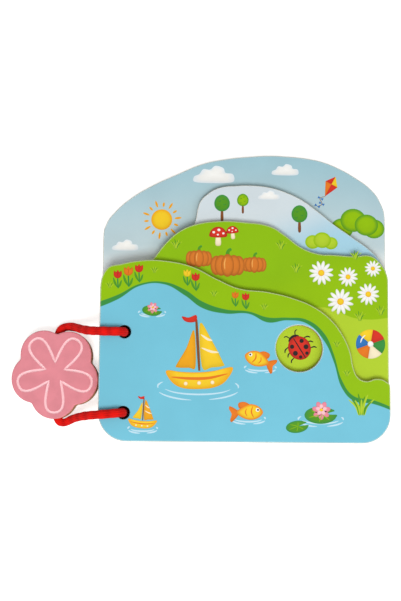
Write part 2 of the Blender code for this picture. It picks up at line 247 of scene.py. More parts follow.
@dataclass(frozen=True)
class LeafFinish:
    """Printed plywood: a painted front and rear, pale rims on the rounded edges, painted shade in the cord
    holes and bare, sanded edges.
    """

    name: str
    front: Colour
    rear: Colour
    front_bands: tuple[Band, ...]
    rear_bands: tuple[Band, ...]
    span: float = 160.0
    # Pale colour mixed into the print on the rounded edges.
    pale_rim: Colour = paint(240, 238, 222)
    # Near-black painted shade for the walls of the cord holes.
    painted_hole_shade: Colour = paint(38, 24, 16)
    ply_count: int = 5
    ply_light: Colour = paint(226, 196, 150)
    ply_dark: Colour = paint(198, 158, 108)
    streak: Colour = paint(168, 124, 78)
    glue: Colour = paint(104, 70, 42)

    def painted(self, coat: Coat, x: Socket, y: Socket, base: Colour, bands: Sequence[Band]) -> object:
        """Return a face's background, with each band's smooth line as a curve over the leaf."""
        colour: object = base
        for band in bands:
            share = coat.math("MULTIPLY_ADD", x, 1 / self.span, 0.5)
            node = coat.add("ShaderNodeFloatCurve", {"Value": share})
            spots = [(across / self.span + 0.5, up / self.span + 0.5) for across, up in band.line]
            ends = node.mapping.curves[0].points
            ends[0].location = spots[0]
            ends[1].location = spots[-1]
            for spot in spots[1:-1]:
                ends.new(*spot)
            node.mapping.update()
            line = coat.math("MULTIPLY_ADD", node.outputs[0], self.span, -self.span / 2)
            rise = coat.math("SUBTRACT", y, line)
            colour = coat.mix(coat.ease(rise, -band.soft, band.soft), colour, band.colour)
        return colour

    def plies(self, coat: Coat, height: Socket, low: float) -> Socket:
        """Return the colour of the bare edge: plies with thin glue lines and end grain."""
        count = self.ply_count / BOOK.leaf_thickness
        waver = coat.math("MULTIPLY", coat.noise(260), 0.16)
        rise = coat.math("ADD", coat.math("MULTIPLY_ADD", height, count, -low * count), waver)
        layer = coat.math("PINGPONG", coat.math("ADD", rise, 0.5), 2.0)
        wood = coat.mix(coat.ease(layer, 0.9, 1.1), self.ply_light, self.ply_dark)
        grain = coat.ease(coat.noise(1400, 4, (1, 1, 0.25)), 0.35, 0.7, 0.0, 0.45)
        seam = coat.ease(coat.math("PINGPONG", rise, 1.0), 0.0, 0.09, 0.55, 0.0)
        return coat.mix(seam, coat.mix(grain, wood, self.streak), self.glue)

    def build(self, low: float) -> Material:
        """Return the material of a leaf whose rear face lies at a height."""
        coat = Coat(self.name)
        x, y, z = coat.parts(coat.place)
        across, up = coat.math("MULTIPLY", x, 1 / MM), coat.math("MULTIPLY", y, 1 / MM)
        tilt = coat.facing_up()
        flat = coat.math("ABSOLUTE", tilt)
        front = self.painted(coat, across, up, self.front, self.front_bands)
        rear = self.painted(coat, across, up, self.rear, self.rear_bands)
        mottle = coat.ease(coat.noise(38, 5), 0.25, 0.75, 0.965, 1.03)
        printed = coat.mix(1.0, coat.mix(coat.ease(tilt, -0.05, 0.05), rear, front), mottle, "MULTIPLY")
        spot = coat.add("ShaderNodeCombineXYZ", {0: x, 1: y}).outputs[0]
        ways = []
        for hole_y in BOOK.hole_ys:
            inputs = {0: spot, 1: (BOOK.hole_x, hole_y, 0)}
            ways.append(coat.add("ShaderNodeVectorMath", inputs, operation="DISTANCE").outputs[1])
        wall = coat.math("SUBTRACT", coat.math("MINIMUM", *ways), BOOK.hole_radius)
        # The rounded edges take 42 % of the pale rim colour, fading out within about a millimetre of the cord
        # holes.
        rim = coat.mix(coat.ease(wall, 0.0007, 0.0011, 0.0, 0.42), printed, self.pale_rim)
        face = coat.mix(coat.ease(flat, 0.97, 0.9998), rim, printed)
        colour = coat.mix(coat.ease(flat, 0.35, 0.72), self.plies(coat, z, low), face)
        # The cord holes' walls, and a hair's breadth around them, take the near-black painted shade, standing
        # in for the shade deep inside the holes.
        return coat.finish(
            Base_Color=coat.mix(coat.ease(wall, 0.00010, 0.00032, 0.93, 0.0), colour, self.painted_hole_shade),
            Roughness=coat.ease(flat, 0.4, 0.95, 0.72, 0.42),
            Specular_IOR_Level=0.1,
            Normal=coat.bump(
                coat.math("ADD", coat.noise(900, 3, (1, 0.12, 1)), coat.noise(2600)), 0.00003, 0.35
            ),
        )


@dataclass(frozen=True)
class InkFinish:
    """Printing ink whose colour each shape carries with it."""

    dull: Colour = paint(214, 206, 196)

    def build(self) -> Material:
        """Return the material."""
        coat = Coat("printed_ink")
        ink = coat.add("ShaderNodeAttribute", {}, attribute_name="ink").outputs["Color"]
        grain = coat.ease(coat.noise(420, 4), 0.25, 0.75, 0.0, 0.09)
        return coat.finish(
            Base_Color=coat.mix(grain, ink, coat.mix(1.0, ink, self.dull, "MULTIPLY")),
            Roughness=coat.ease(coat.noise(1500), 0.2, 0.8, 0.36, 0.46),
            Specular_IOR_Level=0.1,
            Normal=coat.bump(coat.noise(2600), 0.00002, 0.3),
        )


@dataclass(frozen=True)
class PinkFinish:
    """Pink paint on the flower's faces, worn thin at the edge, with bare wood on its sides."""

    pink: Colour = paint(225, 137, 147)
    wood_light: Colour = paint(206, 160, 104)
    wood_dark: Colour = paint(170, 118, 68)
    wood_ring: Colour = paint(140, 92, 52)

    def build(self) -> Material:
        """Return the material."""
        coat = Coat("pink_paint_on_wood")
        tilt = coat.math("ABSOLUTE", coat.facing_up())
        waver = coat.math("MULTIPLY_ADD", coat.noise(700, 3), 0.16, -0.08)
        cloud = coat.ease(coat.noise(160, 4), 0.2, 0.8)
        grain = coat.ease(coat.noise(650, 5, (1, 1, 0.12)), 0.3, 0.7)
        waves = {"Vector": coat.place, "Scale": 420.0, "Distortion": 4.0, "Detail": 3.0}
        ring = coat.add("ShaderNodeTexWave", waves, bands_direction="Z").outputs[1]
        wood = coat.mix(grain, self.wood_light, self.wood_dark)
        return coat.finish(
            Base_Color=coat.mix(
                coat.ease(coat.math("ADD", tilt, waver), 0.26, 0.40),
                coat.mix(coat.ease(ring, 0.4, 0.9, 0.0, 0.35), wood, self.wood_ring),
                coat.mix(cloud, tone(self.pink, 0.92), tone(self.pink, 1.07)),
            ),
            Roughness=coat.ease(tilt, 0.2, 0.5, 0.66, 0.4),
            Specular_IOR_Level=0.2,
            Normal=coat.bump(coat.noise(1300, 3, (1, 0.35, 1)), 0.00004, 0.35),
        )


@dataclass(frozen=True)
class LineFinish:
    """The pale paint in the flower's grooved line."""

    deep: Colour = paint(247, 190, 196)
    pale: Colour = paint(252, 204, 208)

    def build(self) -> Material:
        """Return the material."""
        coat = Coat("pale_pink_line")
        cloud = coat.ease(coat.noise(500, 4), 0.2, 0.8)
        normal = coat.bump(coat.noise(2400), 0.00003, 0.4)
        return coat.finish(Base_Color=coat.mix(cloud, self.deep, self.pale), Roughness=0.5, Normal=normal)


@dataclass(frozen=True)
class CottonFinish:
    """Soft red cotton: bright on the yarns, with painted shade in the grooves between them, and fine fibres.
    """

    red: Colour = paint(233, 20, 11)
    # Dark red painted shade for the grooves between the yarns.
    groove: Colour = paint(124, 4, 8)
    fibre: Colour = paint(232, 70, 58)

    def build(self) -> Material:
        """Return the material."""
        coat = Coat("red_cotton")
        groove = coat.add("ShaderNodeAttribute", {}, attribute_name="groove").outputs["Fac"]
        fibre = coat.noise(5200, 3)
        patch = coat.ease(coat.noise(330, 3), 0.25, 0.75)
        colour = coat.mix(patch, tone(self.red, 0.86), tone(self.red, 1.08))
        # Painted shade: the colour darkens towards the bottom of each groove between the yarns.
        colour = coat.mix(coat.ease(groove, 0.3, 1.0, 0.0, 0.5), colour, self.groove)
        return coat.finish(
            Base_Color=coat.mix(coat.ease(fibre, 0.45, 0.8, 0.0, 0.18), colour, self.fibre),
            Roughness=0.9,
            Sheen_Weight=0.03,
            Sheen_Roughness=0.6,
            Specular_IOR_Level=0.1,
            Normal=coat.bump(coat.math("ADD", fibre, coat.noise(2100)), 0.00012, 0.55),
        )


@dataclass(frozen=True)
class FloorFinish:
    """The pale table, which glows white to the camera except under the book."""

    glow: float = 0.60
    half_width: float = 0.068
    half_depth: float = 0.034
    middle_y: float = -0.036
    grey: Colour = (0.84, 0.84, 0.84, 1)
    pale: Colour = (0.87, 0.87, 0.87, 1)

    def build(self) -> Material:
        """Return the material."""
        coat = Coat("pale_table")
        x, y, _ = coat.parts(coat.place)
        beside = coat.math("SUBTRACT", coat.math("ABSOLUTE", x), self.half_width)
        depth = coat.math("ABSOLUTE", coat.math("SUBTRACT", y, self.middle_y))
        beside = coat.math("MAXIMUM", beside, coat.math("SUBTRACT", depth, self.half_depth))
        seen = coat.math("MULTIPLY", coat.seen(), coat.ease(beside, 0.0, 0.002))
        cloud = coat.ease(coat.noise(6), 0.2, 0.8)
        return coat.finish(
            Base_Color=coat.mix(cloud, self.grey, self.pale),
            Roughness=0.9,
            Specular_IOR_Level=0.0,
            Emission_Color=(1, 1, 1, 1),
            Emission_Strength=coat.math("MULTIPLY", seen, self.glow),
        )


def link(name: str, data: bpy.types.ID) -> Piece:
    """Return a new object of the data, linked to the scene."""
    obj = bpy.data.objects.new(name, data)
    bpy.context.scene.collection.objects.link(obj)
    return obj


def flatten(obj: Piece) -> Piece:
    """Replace an object by a plain mesh of what it evaluates to, placed in its vertices.

    Args:
        obj: A mesh or curve object with or without modifiers.

    Returns:
        The new mesh object, at the origin, with the same name.
    """
    bpy.context.view_layer.update()
    graph = bpy.context.evaluated_depsgraph_get()
    evaluated = obj.evaluated_get(graph)
    mesh = bpy.data.meshes.new_from_object(evaluated, preserve_all_data_layers=True, depsgraph=graph)
    mesh.transform(obj.matrix_world)
    name = obj.name
    bpy.data.objects.remove(obj, do_unlink=True)
    mesh.name = name
    return link(name, mesh)


def solid(name: str, shape: bmesh.types.BMesh) -> Piece:
    """Return a new object of a shape, with the points that lie in the same place joined."""
    bmesh.ops.remove_doubles(shape, verts=shape.verts, dist=JOINED)
    bmesh.ops.recalc_face_normals(shape, faces=shape.faces)
    mesh = bpy.data.meshes.new(name)
    shape.to_mesh(mesh)
    shape.free()
    return link(name, mesh)


def cut_out(obj: Piece, tools: Sequence[Piece]) -> Piece:
    """Return an object with closed tools cut out of it, which leave their paint and go."""
    for tool in tools:
        cut = obj.modifiers.new(tool.name, "BOOLEAN")
        cut.operation = "DIFFERENCE"
        cut.solver = "EXACT"
        cut.material_mode = "TRANSFER"
        cut.object = tool
    made = flatten(obj)
    for tool in tools:
        bpy.data.objects.remove(tool, do_unlink=True)
    return made


def plate(curve: Curve, middle: float, material: Material) -> Piece:
    """Return the closed plate of a filled curve, its middle at a height, in one material."""
    obj = link(curve.name, curve)
    obj.location.z = middle
    made = flatten(obj)
    shape = bmesh.new()
    shape.from_mesh(made.data)
    bmesh.ops.remove_doubles(shape, verts=shape.verts, dist=JOINED)
    shape.to_mesh(made.data)
    shape.free()
    made.data.materials.clear()
    made.data.materials.append(material)
    return made


def soften(obj: Piece, degrees: float) -> None:
    """Shade a mesh smooth but keep its flat faces and its edges sharper than an angle."""
    obj.data.shade_smooth()
    obj.data.set_sharp_from_angle(angle=math.radians(degrees))
    for polygon in obj.data.polygons:
        if abs(polygon.normal.z) > FLAT_NORMAL:
            polygon.use_smooth = False


def flat_curve(name: str, thickness: float) -> Curve:
    """Return an empty filled 2D curve of a thickness whose edges are rounded inside its outline."""
    curve = bpy.data.curves.new(name, "CURVE")
    curve.dimensions = "2D"
    curve.fill_mode = "BOTH"
    curve.extrude = thickness / 2 - BOOK.edge_round
    curve.bevel_depth = BOOK.edge_round
    curve.bevel_resolution = 3
    curve.offset = -BOOK.edge_round
    return curve


def add_loop(curve: Curve, points: Sequence[Point], height: float = 0.0) -> None:
    """Add a closed line of straight pieces to a curve."""
    spline = curve.splines.new("POLY")
    spline.points.add(len(points) - 1)
    spline.use_cyclic_u = True
    for point, (x, y) in zip(spline.points, points):
        point.co = (x, y, height, 1)


def arc(
    wide: float, high: float, start: float, end: float, steps: int, centre: Point = (0, 0)
) -> list[Point]:
    """Return the points of an oval's arc between two angles in degrees, with both ends."""
    angles = (math.radians(start + (end - start) * step / steps) for step in range(steps + 1))
    return [(centre[0] + wide * math.cos(a), centre[1] + high * math.sin(a)) for a in angles]


def turned(x: float, y: float, degrees: float) -> Point:
    """Return a point turned to the left about the origin."""
    c, s = math.cos(math.radians(degrees)), math.sin(math.radians(degrees))
    return x * c - y * s, x * s + y * c


def smooth(places: Sequence[Sequence[float]], steps: int, closed: bool = False) -> list[Vector]:
    """Return points on a smooth curve through places.

    Args:
        places: The points that it passes.
        steps: Points from one place to the next.
        closed: Whether it returns to its start.

    Returns:
        The points, with both ends where it is open.
    """
    knots = [Vector(place) for place in places]
    first = knots[-1] if closed else knots[0] * 2 - knots[1]
    last = knots[:2] if closed else [knots[-1] * 2 - knots[-2]]
    ring = [first, *knots, *last]
    points = []
    for before, start, end, after in zip(ring, ring[1:], ring[2:], ring[3:]):
        bend = before * 2 - start * 5 + end * 4 - after
        twist = start * 3 - before - end * 3 + after
        for step in range(steps):
            t = step / steps
            points.append((start * 2 + (end - before) * t + bend * t**2 + twist * t**3) / 2)
    return points if closed else [*points, knots[-1]]


def running(points: Sequence[Vector]) -> list[float]:
    """Return the length of a line up to each of its points."""
    steps = [(after - before).length for before, after in zip(points, points[1:])]
    return list(accumulate(steps, initial=0.0))


def evenly(points: Sequence[Vector], spacing: float) -> list[Vector]:
    """Return points set evenly along a line."""
    lengths = running(points)
    wanted = np.linspace(0, lengths[-1], max(4, round(lengths[-1] / spacing)) + 1)
    return [Vector(v) for v in zip(*(np.interp(wanted, lengths, [p[k] for p in points]) for k in range(3)))]


class Tree(Net):
    """Writes and runs one Geometry Nodes tree."""

    def __init__(self, name: str) -> None:
        """Start a tree of a name, with a geometry input and output."""
        super().__init__(bpy.data.node_groups.new(name, "GeometryNodeTree"))
        for way in ("INPUT", "OUTPUT"):
            self.tree.interface.new_socket("Geometry", in_out=way, socket_type="NodeSocketGeometry")
        self.inside = self.tree.nodes.new("NodeGroupInput")
        self.outside = self.tree.nodes.new("NodeGroupOutput")
        self.identifiers: dict[str, str] = {}

    def named(self, name: str, kind: str = "Float") -> Socket:
        """Add a named input and return its socket inside the tree."""
        made = self.tree.interface.new_socket(name, in_out="INPUT", socket_type=f"NodeSocket{kind}")
        self.identifiers[name] = made.identifier
        return next(s for s in self.inside.outputs if s.identifier == made.identifier)

    def read(self, name: str) -> Socket:
        """Return a named float attribute."""
        return self.add("GeometryNodeInputNamedAttribute", {"Name": name}, data_type="FLOAT").outputs[0]

    def store(self, geometry: Socket, name: str, value: Socket) -> Socket:
        """Return a geometry with a float stored on its points under a name."""
        inputs = {"Geometry": geometry, "Name": name, "Value": value}
        return self.add("GeometryNodeStoreNamedAttribute", inputs, data_type="FLOAT").outputs[0]

    def chance(self, low: Socket, high: Socket, seed: int) -> Socket:
        """Return a random float for each point."""
        inputs = {2: low, 3: high, "Seed": seed}
        return self.add("FunctionNodeRandomValue", inputs, data_type="FLOAT").outputs[1]

    def end(self, geometry: Socket, material: Socket) -> None:
        """Close the tree with Realize Instances and Set Material."""
        real = self.add("GeometryNodeRealizeInstances", {0: geometry}).outputs[0]
        made = self.add("GeometryNodeSetMaterial", {"Geometry": real, "Material": material}).outputs[0]
        self.tree.links.new(made, self.outside.inputs[0])

    def run(self, name: str, source: bpy.types.Mesh, values: dict[str, object]) -> Piece:
        """Run the tree on a mesh.

        Args:
            name: Name of the new piece.
            source: The points or lines that the tree works on.
            values: Values for the named inputs.

        Returns:
            A plain mesh object of the result.
        """
        obj = link(name, source)
        modifier = obj.modifiers.new(self.tree.name, "NODES")
        modifier.node_group = self.tree
        for key, value in values.items():
            modifier[self.identifiers[key]] = value
        return flatten(obj)


def repeat_tree() -> Tree:
    """Return a tree that repeats a small printed motif at points, turned and scaled a little."""
    tree = Tree("repeated_print")
    motif, material = tree.named("Motif", "Object"), tree.named("Ink", "Material")
    least, most, turn = tree.named("Least size"), tree.named("Most size"), tree.named("Turn")
    size = tree.chance(least, most, seed=7)
    angle = tree.chance(tree.math("MULTIPLY", turn, -1.0), turn, seed=11)
    inputs = {
        "Points": tree.inside.outputs[0],
        "Instance": tree.add("GeometryNodeObjectInfo", {"Object": motif}).outputs["Geometry"],
        "Rotation": tree.add("ShaderNodeCombineXYZ", {2: angle}).outputs[0],
        "Scale": tree.add("ShaderNodeCombineXYZ", {0: size, 1: size, 2: 1.0}).outputs[0],
    }
    tree.end(tree.add("GeometryNodeInstanceOnPoints", inputs).outputs[0], material)
    return tree


def cord_tree() -> Tree:
    """Return a tree that sweeps a braided cord along a line whose points carry their length."""
    tree = Tree("braided_cord")
    radius, depth = tree.named("Radius"), tree.named("Braid depth")
    pitch, strands = tree.named("Braid pitch"), tree.named("Strands")
    material = tree.named("Cotton", "Material")
    line = tree.add("GeometryNodeMeshToCurve", {0: tree.inside.outputs[0]}).outputs[0]
    sides = {"Resolution": CORD_SIDES, "Radius": radius}
    circle = tree.add("GeometryNodeCurvePrimitiveCircle", sides).outputs[0]
    x, y, _ = tree.parts(tree.add("GeometryNodeInputPosition", {}).outputs[0])
    ring = tree.store(circle, "round", tree.math("ARCTAN2", y, x))
    sweep = {"Curve": line, "Profile Curve": ring, "Fill Caps": True}
    tube = tree.add("GeometryNodeCurveToMesh", sweep).outputs[0]
    around = tree.math("MULTIPLY", tree.read("round"), strands)
    forward = tree.math("DIVIDE", tree.math("MULTIPLY", tree.read("along"), 2 * math.pi), pitch)
    left = tree.math("COSINE", tree.math("ADD", around, forward))
    right = tree.math("COSINE", tree.math("SUBTRACT", around, forward))
    groove = tree.math("MULTIPLY_ADD", tree.math("MULTIPLY", left, right), -0.5, 0.5)
    marked = tree.store(tube, "groove", groove)
    sink = tree.math("SUBTRACT", tree.read("swell"), tree.math("MULTIPLY", tree.read("groove"), depth))
    normal = tree.add("GeometryNodeInputNormal", {}).outputs[0]
    move = tree.add("ShaderNodeVectorMath", {0: normal, "Scale": sink}, operation="SCALE").outputs[0]
    moved = tree.add("GeometryNodeSetPosition", {"Geometry": marked, "Offset": move}).outputs[0]
    tree.end(tree.add("GeometryNodeSetShadeSmooth", {"Geometry": moved}).outputs[0], material)
    return tree


@dataclass
class Artwork:
    """Printed shapes on a face at a height, gathered into a single thin mesh."""

    name: str
    base: float = 0.0
    face: Face = Face.FRONT
    ink_depth: float = 0.000012
    sunk: float = 0.00001
    inner_share: float = 0.66
    foot_light: float = 0.94
    light_rise: float = 0.12

    def __post_init__(self) -> None:
        """Start without shapes."""
        self.vertices: list[Place] = []
        self.faces: list[tuple[int, ...]] = []
        self.colours: list[Colour] = []

    def put(self, x: float, y: float, height: float, colour: Colour) -> int:
        """Add a vertex, given in millimetres and a height over the face in metres."""
        self.vertices.append((x * MM, y * MM, self.base + self.face.value * height))
        self.colours.append(colour)
        return len(self.vertices) - 1

    def fill(self, *corners: int) -> None:
        """Add a polygon that faces away from the leaf."""
        self.faces.append(corners[:: self.face.value])

    def patch(self, outline: Sequence[Point], layer: int, shades: tuple[Colour, Colour, Colour]) -> None:
        """Print a closed shape, a little lighter towards its top.

        Args:
            outline: Its edge in millimetres, around a centre that sees all of it.
            layer: How many inks lie under it.
            shades: Colours at the edge, inside and at the centre.
        """
        points = np.array(outline)
        after = np.roll(points, -1, 0)
        if (points[:, 0] * after[:, 1] - after[:, 0] * points[:, 1]).sum() < 0:
            points = points[::-1]
        count, centre = len(points), points.mean(0)
        low, high = points[:, 1].min(), points[:, 1].max()
        top = self.ink_depth * (layer + 1)

        def lit(x: float, y: float, shade: Colour) -> int:
            """Add a vertex on top, lit by its height in the shape."""
            light = self.foot_light + self.light_rise * (y - low) / max(high - low, 0.01)
            return self.put(x, y, top, tone(shade, light))

        rim = [lit(x, y, shades[0]) for x, y in points]
        inner = [lit(x, y, shades[1]) for x, y in centre + (points - centre) * self.inner_share]
        under = [self.put(x, y, -self.sunk, shades[0]) for x, y in points]
        middle = lit(*centre, shades[2])
        for k in range(count):
            m = (k + 1) % count
            self.fill(rim[k], rim[m], inner[m], inner[k])
            self.fill(inner[k], inner[m], middle)
            self.fill(under[k], under[m], rim[m], rim[k])
        self.fill(*reversed(under))

    def ribbon(self, points: Sequence[Point], widths: Sequence[float], layer: int, colour: Colour) -> None:
        """Print a line.

        Args:
            points: Its middle in millimetres.
            widths: Its width at each point.
            layer: How many inks lie under it.
            colour: Its colour.
        """
        top = self.ink_depth * (layer + 1)
        middle = np.array(points)
        ahead = np.gradient(middle, axis=0)
        reach = np.stack([-ahead[:, 1], ahead[:, 0]], 1)
        reach *= (np.array(widths) / 2 / np.linalg.norm(ahead, axis=1))[:, None]
        rows = []
        for left, right in zip(middle + reach, middle - reach):
            corners = ((left, top), (right, top), (right, -self.sunk), (left, -self.sunk))
            rows.append([self.put(*spot, height, colour) for spot, height in corners])
        for near, far in zip(rows, rows[1:]):
            for k in range(4):
                self.fill(near[k], near[k - 3], far[k - 3], far[k])
        self.fill(*reversed(rows[0]))
        self.fill(*rows[-1])

    def build(self, ink: Material) -> Piece:
        """Return the gathered shapes as a piece in one ink, which carries their colours."""
        mesh = bpy.data.meshes.new(self.name)
        mesh.from_pydata(self.vertices, [], self.faces)
        colours = mesh.color_attributes.new("ink", "FLOAT_COLOR", "POINT")
        colours.data.foreach_set("color", np.array(self.colours, np.float32).ravel())
        mesh.materials.append(ink)
        mesh.update()
        return link(self.name, mesh)


@dataclass
class Pen:
    """Draws on an artwork from a moved, scaled and turned origin, in millimetres and degrees."""

    art: Artwork
    x: float
    y: float
    scale: float = 1.0
    turn: float = 0.0
    flip: bool = False
    layer: int = 0

    RIM_TONE = 0.80
    MIDDLE_TONE = 1.07
    PETAL_PLACE = 0.56
    PETAL_HALF = 0.48
    SMALL = 1.5
    SMALL_SIDES = 14
    SIDES = 30

    def at(self, point: Point) -> Point:
        """Return where a point of the motif lies on the leaf."""
        x, y = turned(-point[0] if self.flip else point[0], point[1], self.turn)
        return self.x + x * self.scale, self.y + y * self.scale

    def shape(
        self, points: Sequence[Point], colour: Colour, rim: Colour | None = None, steps: int = 5
    ) -> None:
        """Print a smooth closed shape, deeper at its edge and lighter in its middle."""
        outline = smooth(points, steps, closed=True) if steps > 1 else points
        shades = (rim or tone(colour, self.RIM_TONE), colour, tone(colour, self.MIDDLE_TONE))
        self.art.patch([self.at(p) for p in outline], self.layer, shades)
        self.layer += 1

    def oval(
        self, x: float, y: float, wide: float, high: float, colour: Colour, rim: Colour | None = None,
        turn: float = 0.0,
    ) -> None:
        """Print an oval by its centre and half sizes."""
        count = self.SMALL_SIDES if max(wide, high) * self.scale < self.SMALL else self.SIDES
        ring = [turned(*point, turn) for point in arc(wide, high, 0, 360, count)[:-1]]
        self.shape([(x + px, y + py) for px, py in ring], colour, rim, 1)

    def dot(self, x: float, y: float, radius: float, colour: Colour, rim: Colour | None = None) -> None:
        """Print a round spot."""
        self.oval(x, y, radius, radius, colour, rim)

    def line(self, points: Sequence[Point], width: float, colour: Colour, ends: float = 0.15) -> None:
        """Print a smooth line that thins to a share of its width at both ends."""
        places = smooth(points, 7)
        waves = np.sin(np.linspace(0, math.pi, len(places))).clip(0) ** 0.6
        widths = width * self.scale * (ends + (1 - ends) * waves)
        self.art.ribbon([self.at(p) for p in places], widths, self.layer, colour)
        self.layer += 1

    def petals(
        self, x: float, y: float, count: int, reach: float, wide: float, colour: Colour, start: float = 90.0
    ) -> None:
        """Print a ring of petals, in pairs of layers so that neighbours overlap."""
        base, orbit = self.layer, reach * self.PETAL_PLACE
        for index, (px, py) in enumerate(arc(orbit, orbit, start, start + 360, count, (x, y))[:-1]):
            self.layer = base + index % 2
            self.oval(px, py, reach * self.PETAL_HALF, wide, colour, turn=start + 360 * index / count)
        self.layer = base + 2


def boat(pen: Pen, hull: Colour, sail: Colour, jib: Colour) -> None:
    """Print a toy sailing boat, about 35 mm long at scale 1."""
    pen.line([(0.4, -7), (0.2, 8), (0, 20)], 1.5, BROWN, 0.7)
    main_sail = [(1.8, 18), (7.5, 9), (13, -3), (13.2, -5), (7, -5.6), (1.8, -5)]
    pen.shape(main_sail, sail, tone(sail, 0.82), 4)
    fore_sail = [(-1.4, 14.5), (-6, 5), (-11.5, -3.4), (-11, -4.8), (-5, -5.2), (-1.4, -4.6)]
    pen.shape(fore_sail, jib, tone(jib, 0.82), 4)
    pen.line([(2, 12), (5.5, 9.4), (8.0, 8.6)], 1.2, CREAM)
    pen.line([(2, 5), (7, 2.8), (11.0, 2.2)], 1.2, CREAM)
    pen.shape([(0, 22.4), (-4, 21.2), (-7.5, 22), (-6.3, 19.6), (-3.4, 18.6), (0, 19.2)], RED, None, 4)
    side = [(-17, -6.2), (-14.5, -12), (-9, -15.6), (0, -16.6), (8, -16), (14, -13), (18, -6)]
    pen.shape([*side, (8, -7.4), (0, -7.8), (-9, -7.2)], hull, GOLD)
    pen.line([(-14.6, -9.6), (-5, -10.8), (5, -11), (15.2, -9.2)], 1.5, ORANGE)
    for x in (-7, 0, 7):
        pen.dot(x, -13.4, 1.15, CREAM, GOLD)


def fish(pen: Pen, body: Colour, fin: Colour) -> None:
    """Print a little fish, about 17 mm long at scale 1."""
    pen.shape([(4.5, 0.4), (8.6, 4), (9.4, 2.6), (8.4, 0), (9.4, -2.8), (8.4, -3.8)], fin, None, 4)
    pen.shape([(-1.5, 3), (1, 5.4), (4.4, 5.2), (4, 2.4)], fin, None, 4)
    back = [(-7.4, -0.4), (-5.4, 2.6), (-1.6, 4.1), (2.6, 3), (6, 0.6)]
    pen.shape([*back, (2.6, -2.6), (-1.6, -3.8), (-5.4, -2.8)], body, fin)
    pen.line([(-2.6, 3), (-1.6, 0.2), (-2.5, -2.8)], 0.7, fin)
    pen.line([(0.6, 2.2), (1.4, 0.2), (0.7, -1.8)], 0.55, fin)
    pen.dot(-4.8, 0.9, 0.95, WHITE, WHITE)
    pen.dot(-5.0, 0.9, 0.5, DARK, DARK)


def lily(pen: Pen, bloom: bool) -> None:
    """Print a lily pad, with or without a flower on it."""
    pad = [(math.cos(a) * 8.2, math.sin(a) * 4.4) for a in np.linspace(0.5, 2 * math.pi + 0.08, 22)]
    pen.shape([(1.2, 0.4), *pad], GRASS_DEEP, SHORE, 2)
    for angle in (1.4, 2.4, 3.5, 4.6, 5.5):
        pen.line([(0.8, 0.3), (math.cos(angle) * 6.6, math.sin(angle) * 3.5)], 0.42, GRASS)
    pen.layer -= 4
    if bloom:
        pen.petals(0.4, 2.4, 7, 4.6, 1.35, ROSE, 12)
        pen.petals(0.4, 2.7, 5, 2.9, 1.0, paint(250, 196, 204))
        pen.oval(0.4, 2.7, 0.95, 0.8, YELLOW, GOLD)


def tulip(pen: Pen, cup: Colour) -> None:
    """Print a tulip, about 12 mm tall at scale 1."""
    pen.line([(0.4, -6), (0.1, -1), (0, 2)], 0.9, SHORE, 0.6)
    pen.shape([(0.2, -5.6), (-2.4, -2.6), (-2.9, 1.2), (-1.4, -1.2)], GRASS_DEEP, SHORE, 4)
    pen.shape([(0.4, -5.8), (2.2, -3.8), (2.7, -0.6), (1.3, -2.4)], GRASS_DEEP, SHORE, 4)
    foot = [(-2.4, 5.6), (-2.6, 2.6), (-1.4, 1), (0, 0.6), (1.4, 1), (2.6, 2.6), (2.4, 5.6)]
    pen.shape([*foot, (1.2, 4.4), (0, 6.1), (-1.2, 4.4)], cup, None, 3)
    pen.line([(0, 1.6), (0.05, 3.2), (0, 4.8)], 0.5, tone(cup, 0.72))


def pumpkin(pen: Pen) -> None:
    """Print a round pumpkin, about 16 mm wide at scale 1."""
    stalk = [(-0.9, 4.2), (-0.4, 7), (1.3, 8.2), (1.9, 7.2), (0.9, 6.2), (0.9, 4.2)]
    pen.shape(stalk, GRASS_DEEP, SHORE, 4)
    for x, wide in ((-5.2, 2.8), (5.2, 2.8), (-2.9, 3.1), (2.9, 3.1), (0, 3.0)):
        pen.oval(x, 0, wide, 5.4 - abs(x) * 0.16, TERRACOTTA, tone(TERRACOTTA, 0.62))
    pen.line([(-0.9, 3.6), (-1.4, 1), (-1.2, -2)], 0.6, paint(244, 176, 92))


def daisy(pen: Pen) -> None:
    """Print a white daisy without a stem, 2 mm across at scale 1."""
    pen.petals(0, 0, 12, 1, 0.15, WHITE, 8)
    pen.dot(0, 0, 0.27, YELLOW, GOLD)


def ladybird(pen: Pen) -> None:
    """Print a ladybird, about 13 mm long at scale 1."""
    base = pen.layer
    for side in (-1, 1):
        pen.line([(side * 1.0, 5.2), (side * 2.3, 7.6), (side * 3.6, 7.9)], 0.5, DARK, 0.6)
        for y in (-2.6, 0.4, 3.0):
            hip = 5.1 * math.sqrt(1 - (y / 5.6) ** 2)
            pen.line([(side * hip, y), (side * 6.1, y - 0.4), (side * 6.9, y - 1.4)], 0.6, DARK, 0.6)
    pen.layer = base + 2
    pen.oval(0, 4.5, 2.9, 2.2, DARK, DARK)
    pen.oval(0, 0, 5.2, 5.6, RED, tone(RED, 0.66))
    pen.line([(0, 5.2), (0, 0), (0, -5.3)], 0.55, DARK, 0.6)
    spots = pen.layer
    for x, y, radius in ((2.6, 2.3, 1.0), (2.9, -1.1, 1.15), (1.7, -3.8, 0.8)):
        for side in (1, -1):
            pen.layer = spots
            pen.dot(side * x, y, radius, DARK, DARK)


def ball(pen: Pen, radius: float = 7.6) -> None:
    """Print a beach ball with coloured panels."""
    base = pen.layer
    for index, colour in enumerate((RED, YELLOW, BLUE, ORANGE, CREAM, SHORE)):
        pen.layer = base
        panel = arc(radius, radius, 60 * index, 60 * index + 60, 8)
        pen.shape([(0, 0), *panel], colour, tone(colour, 0.84), 1)
    pen.dot(0, 0, radius * 0.2, WHITE)
    shine = ((-0.62, 0.3), (-0.42, 0.55), (-0.12, 0.7))
    pen.line([(x * radius, y * radius) for x, y in shine], 0.7, WHITE)


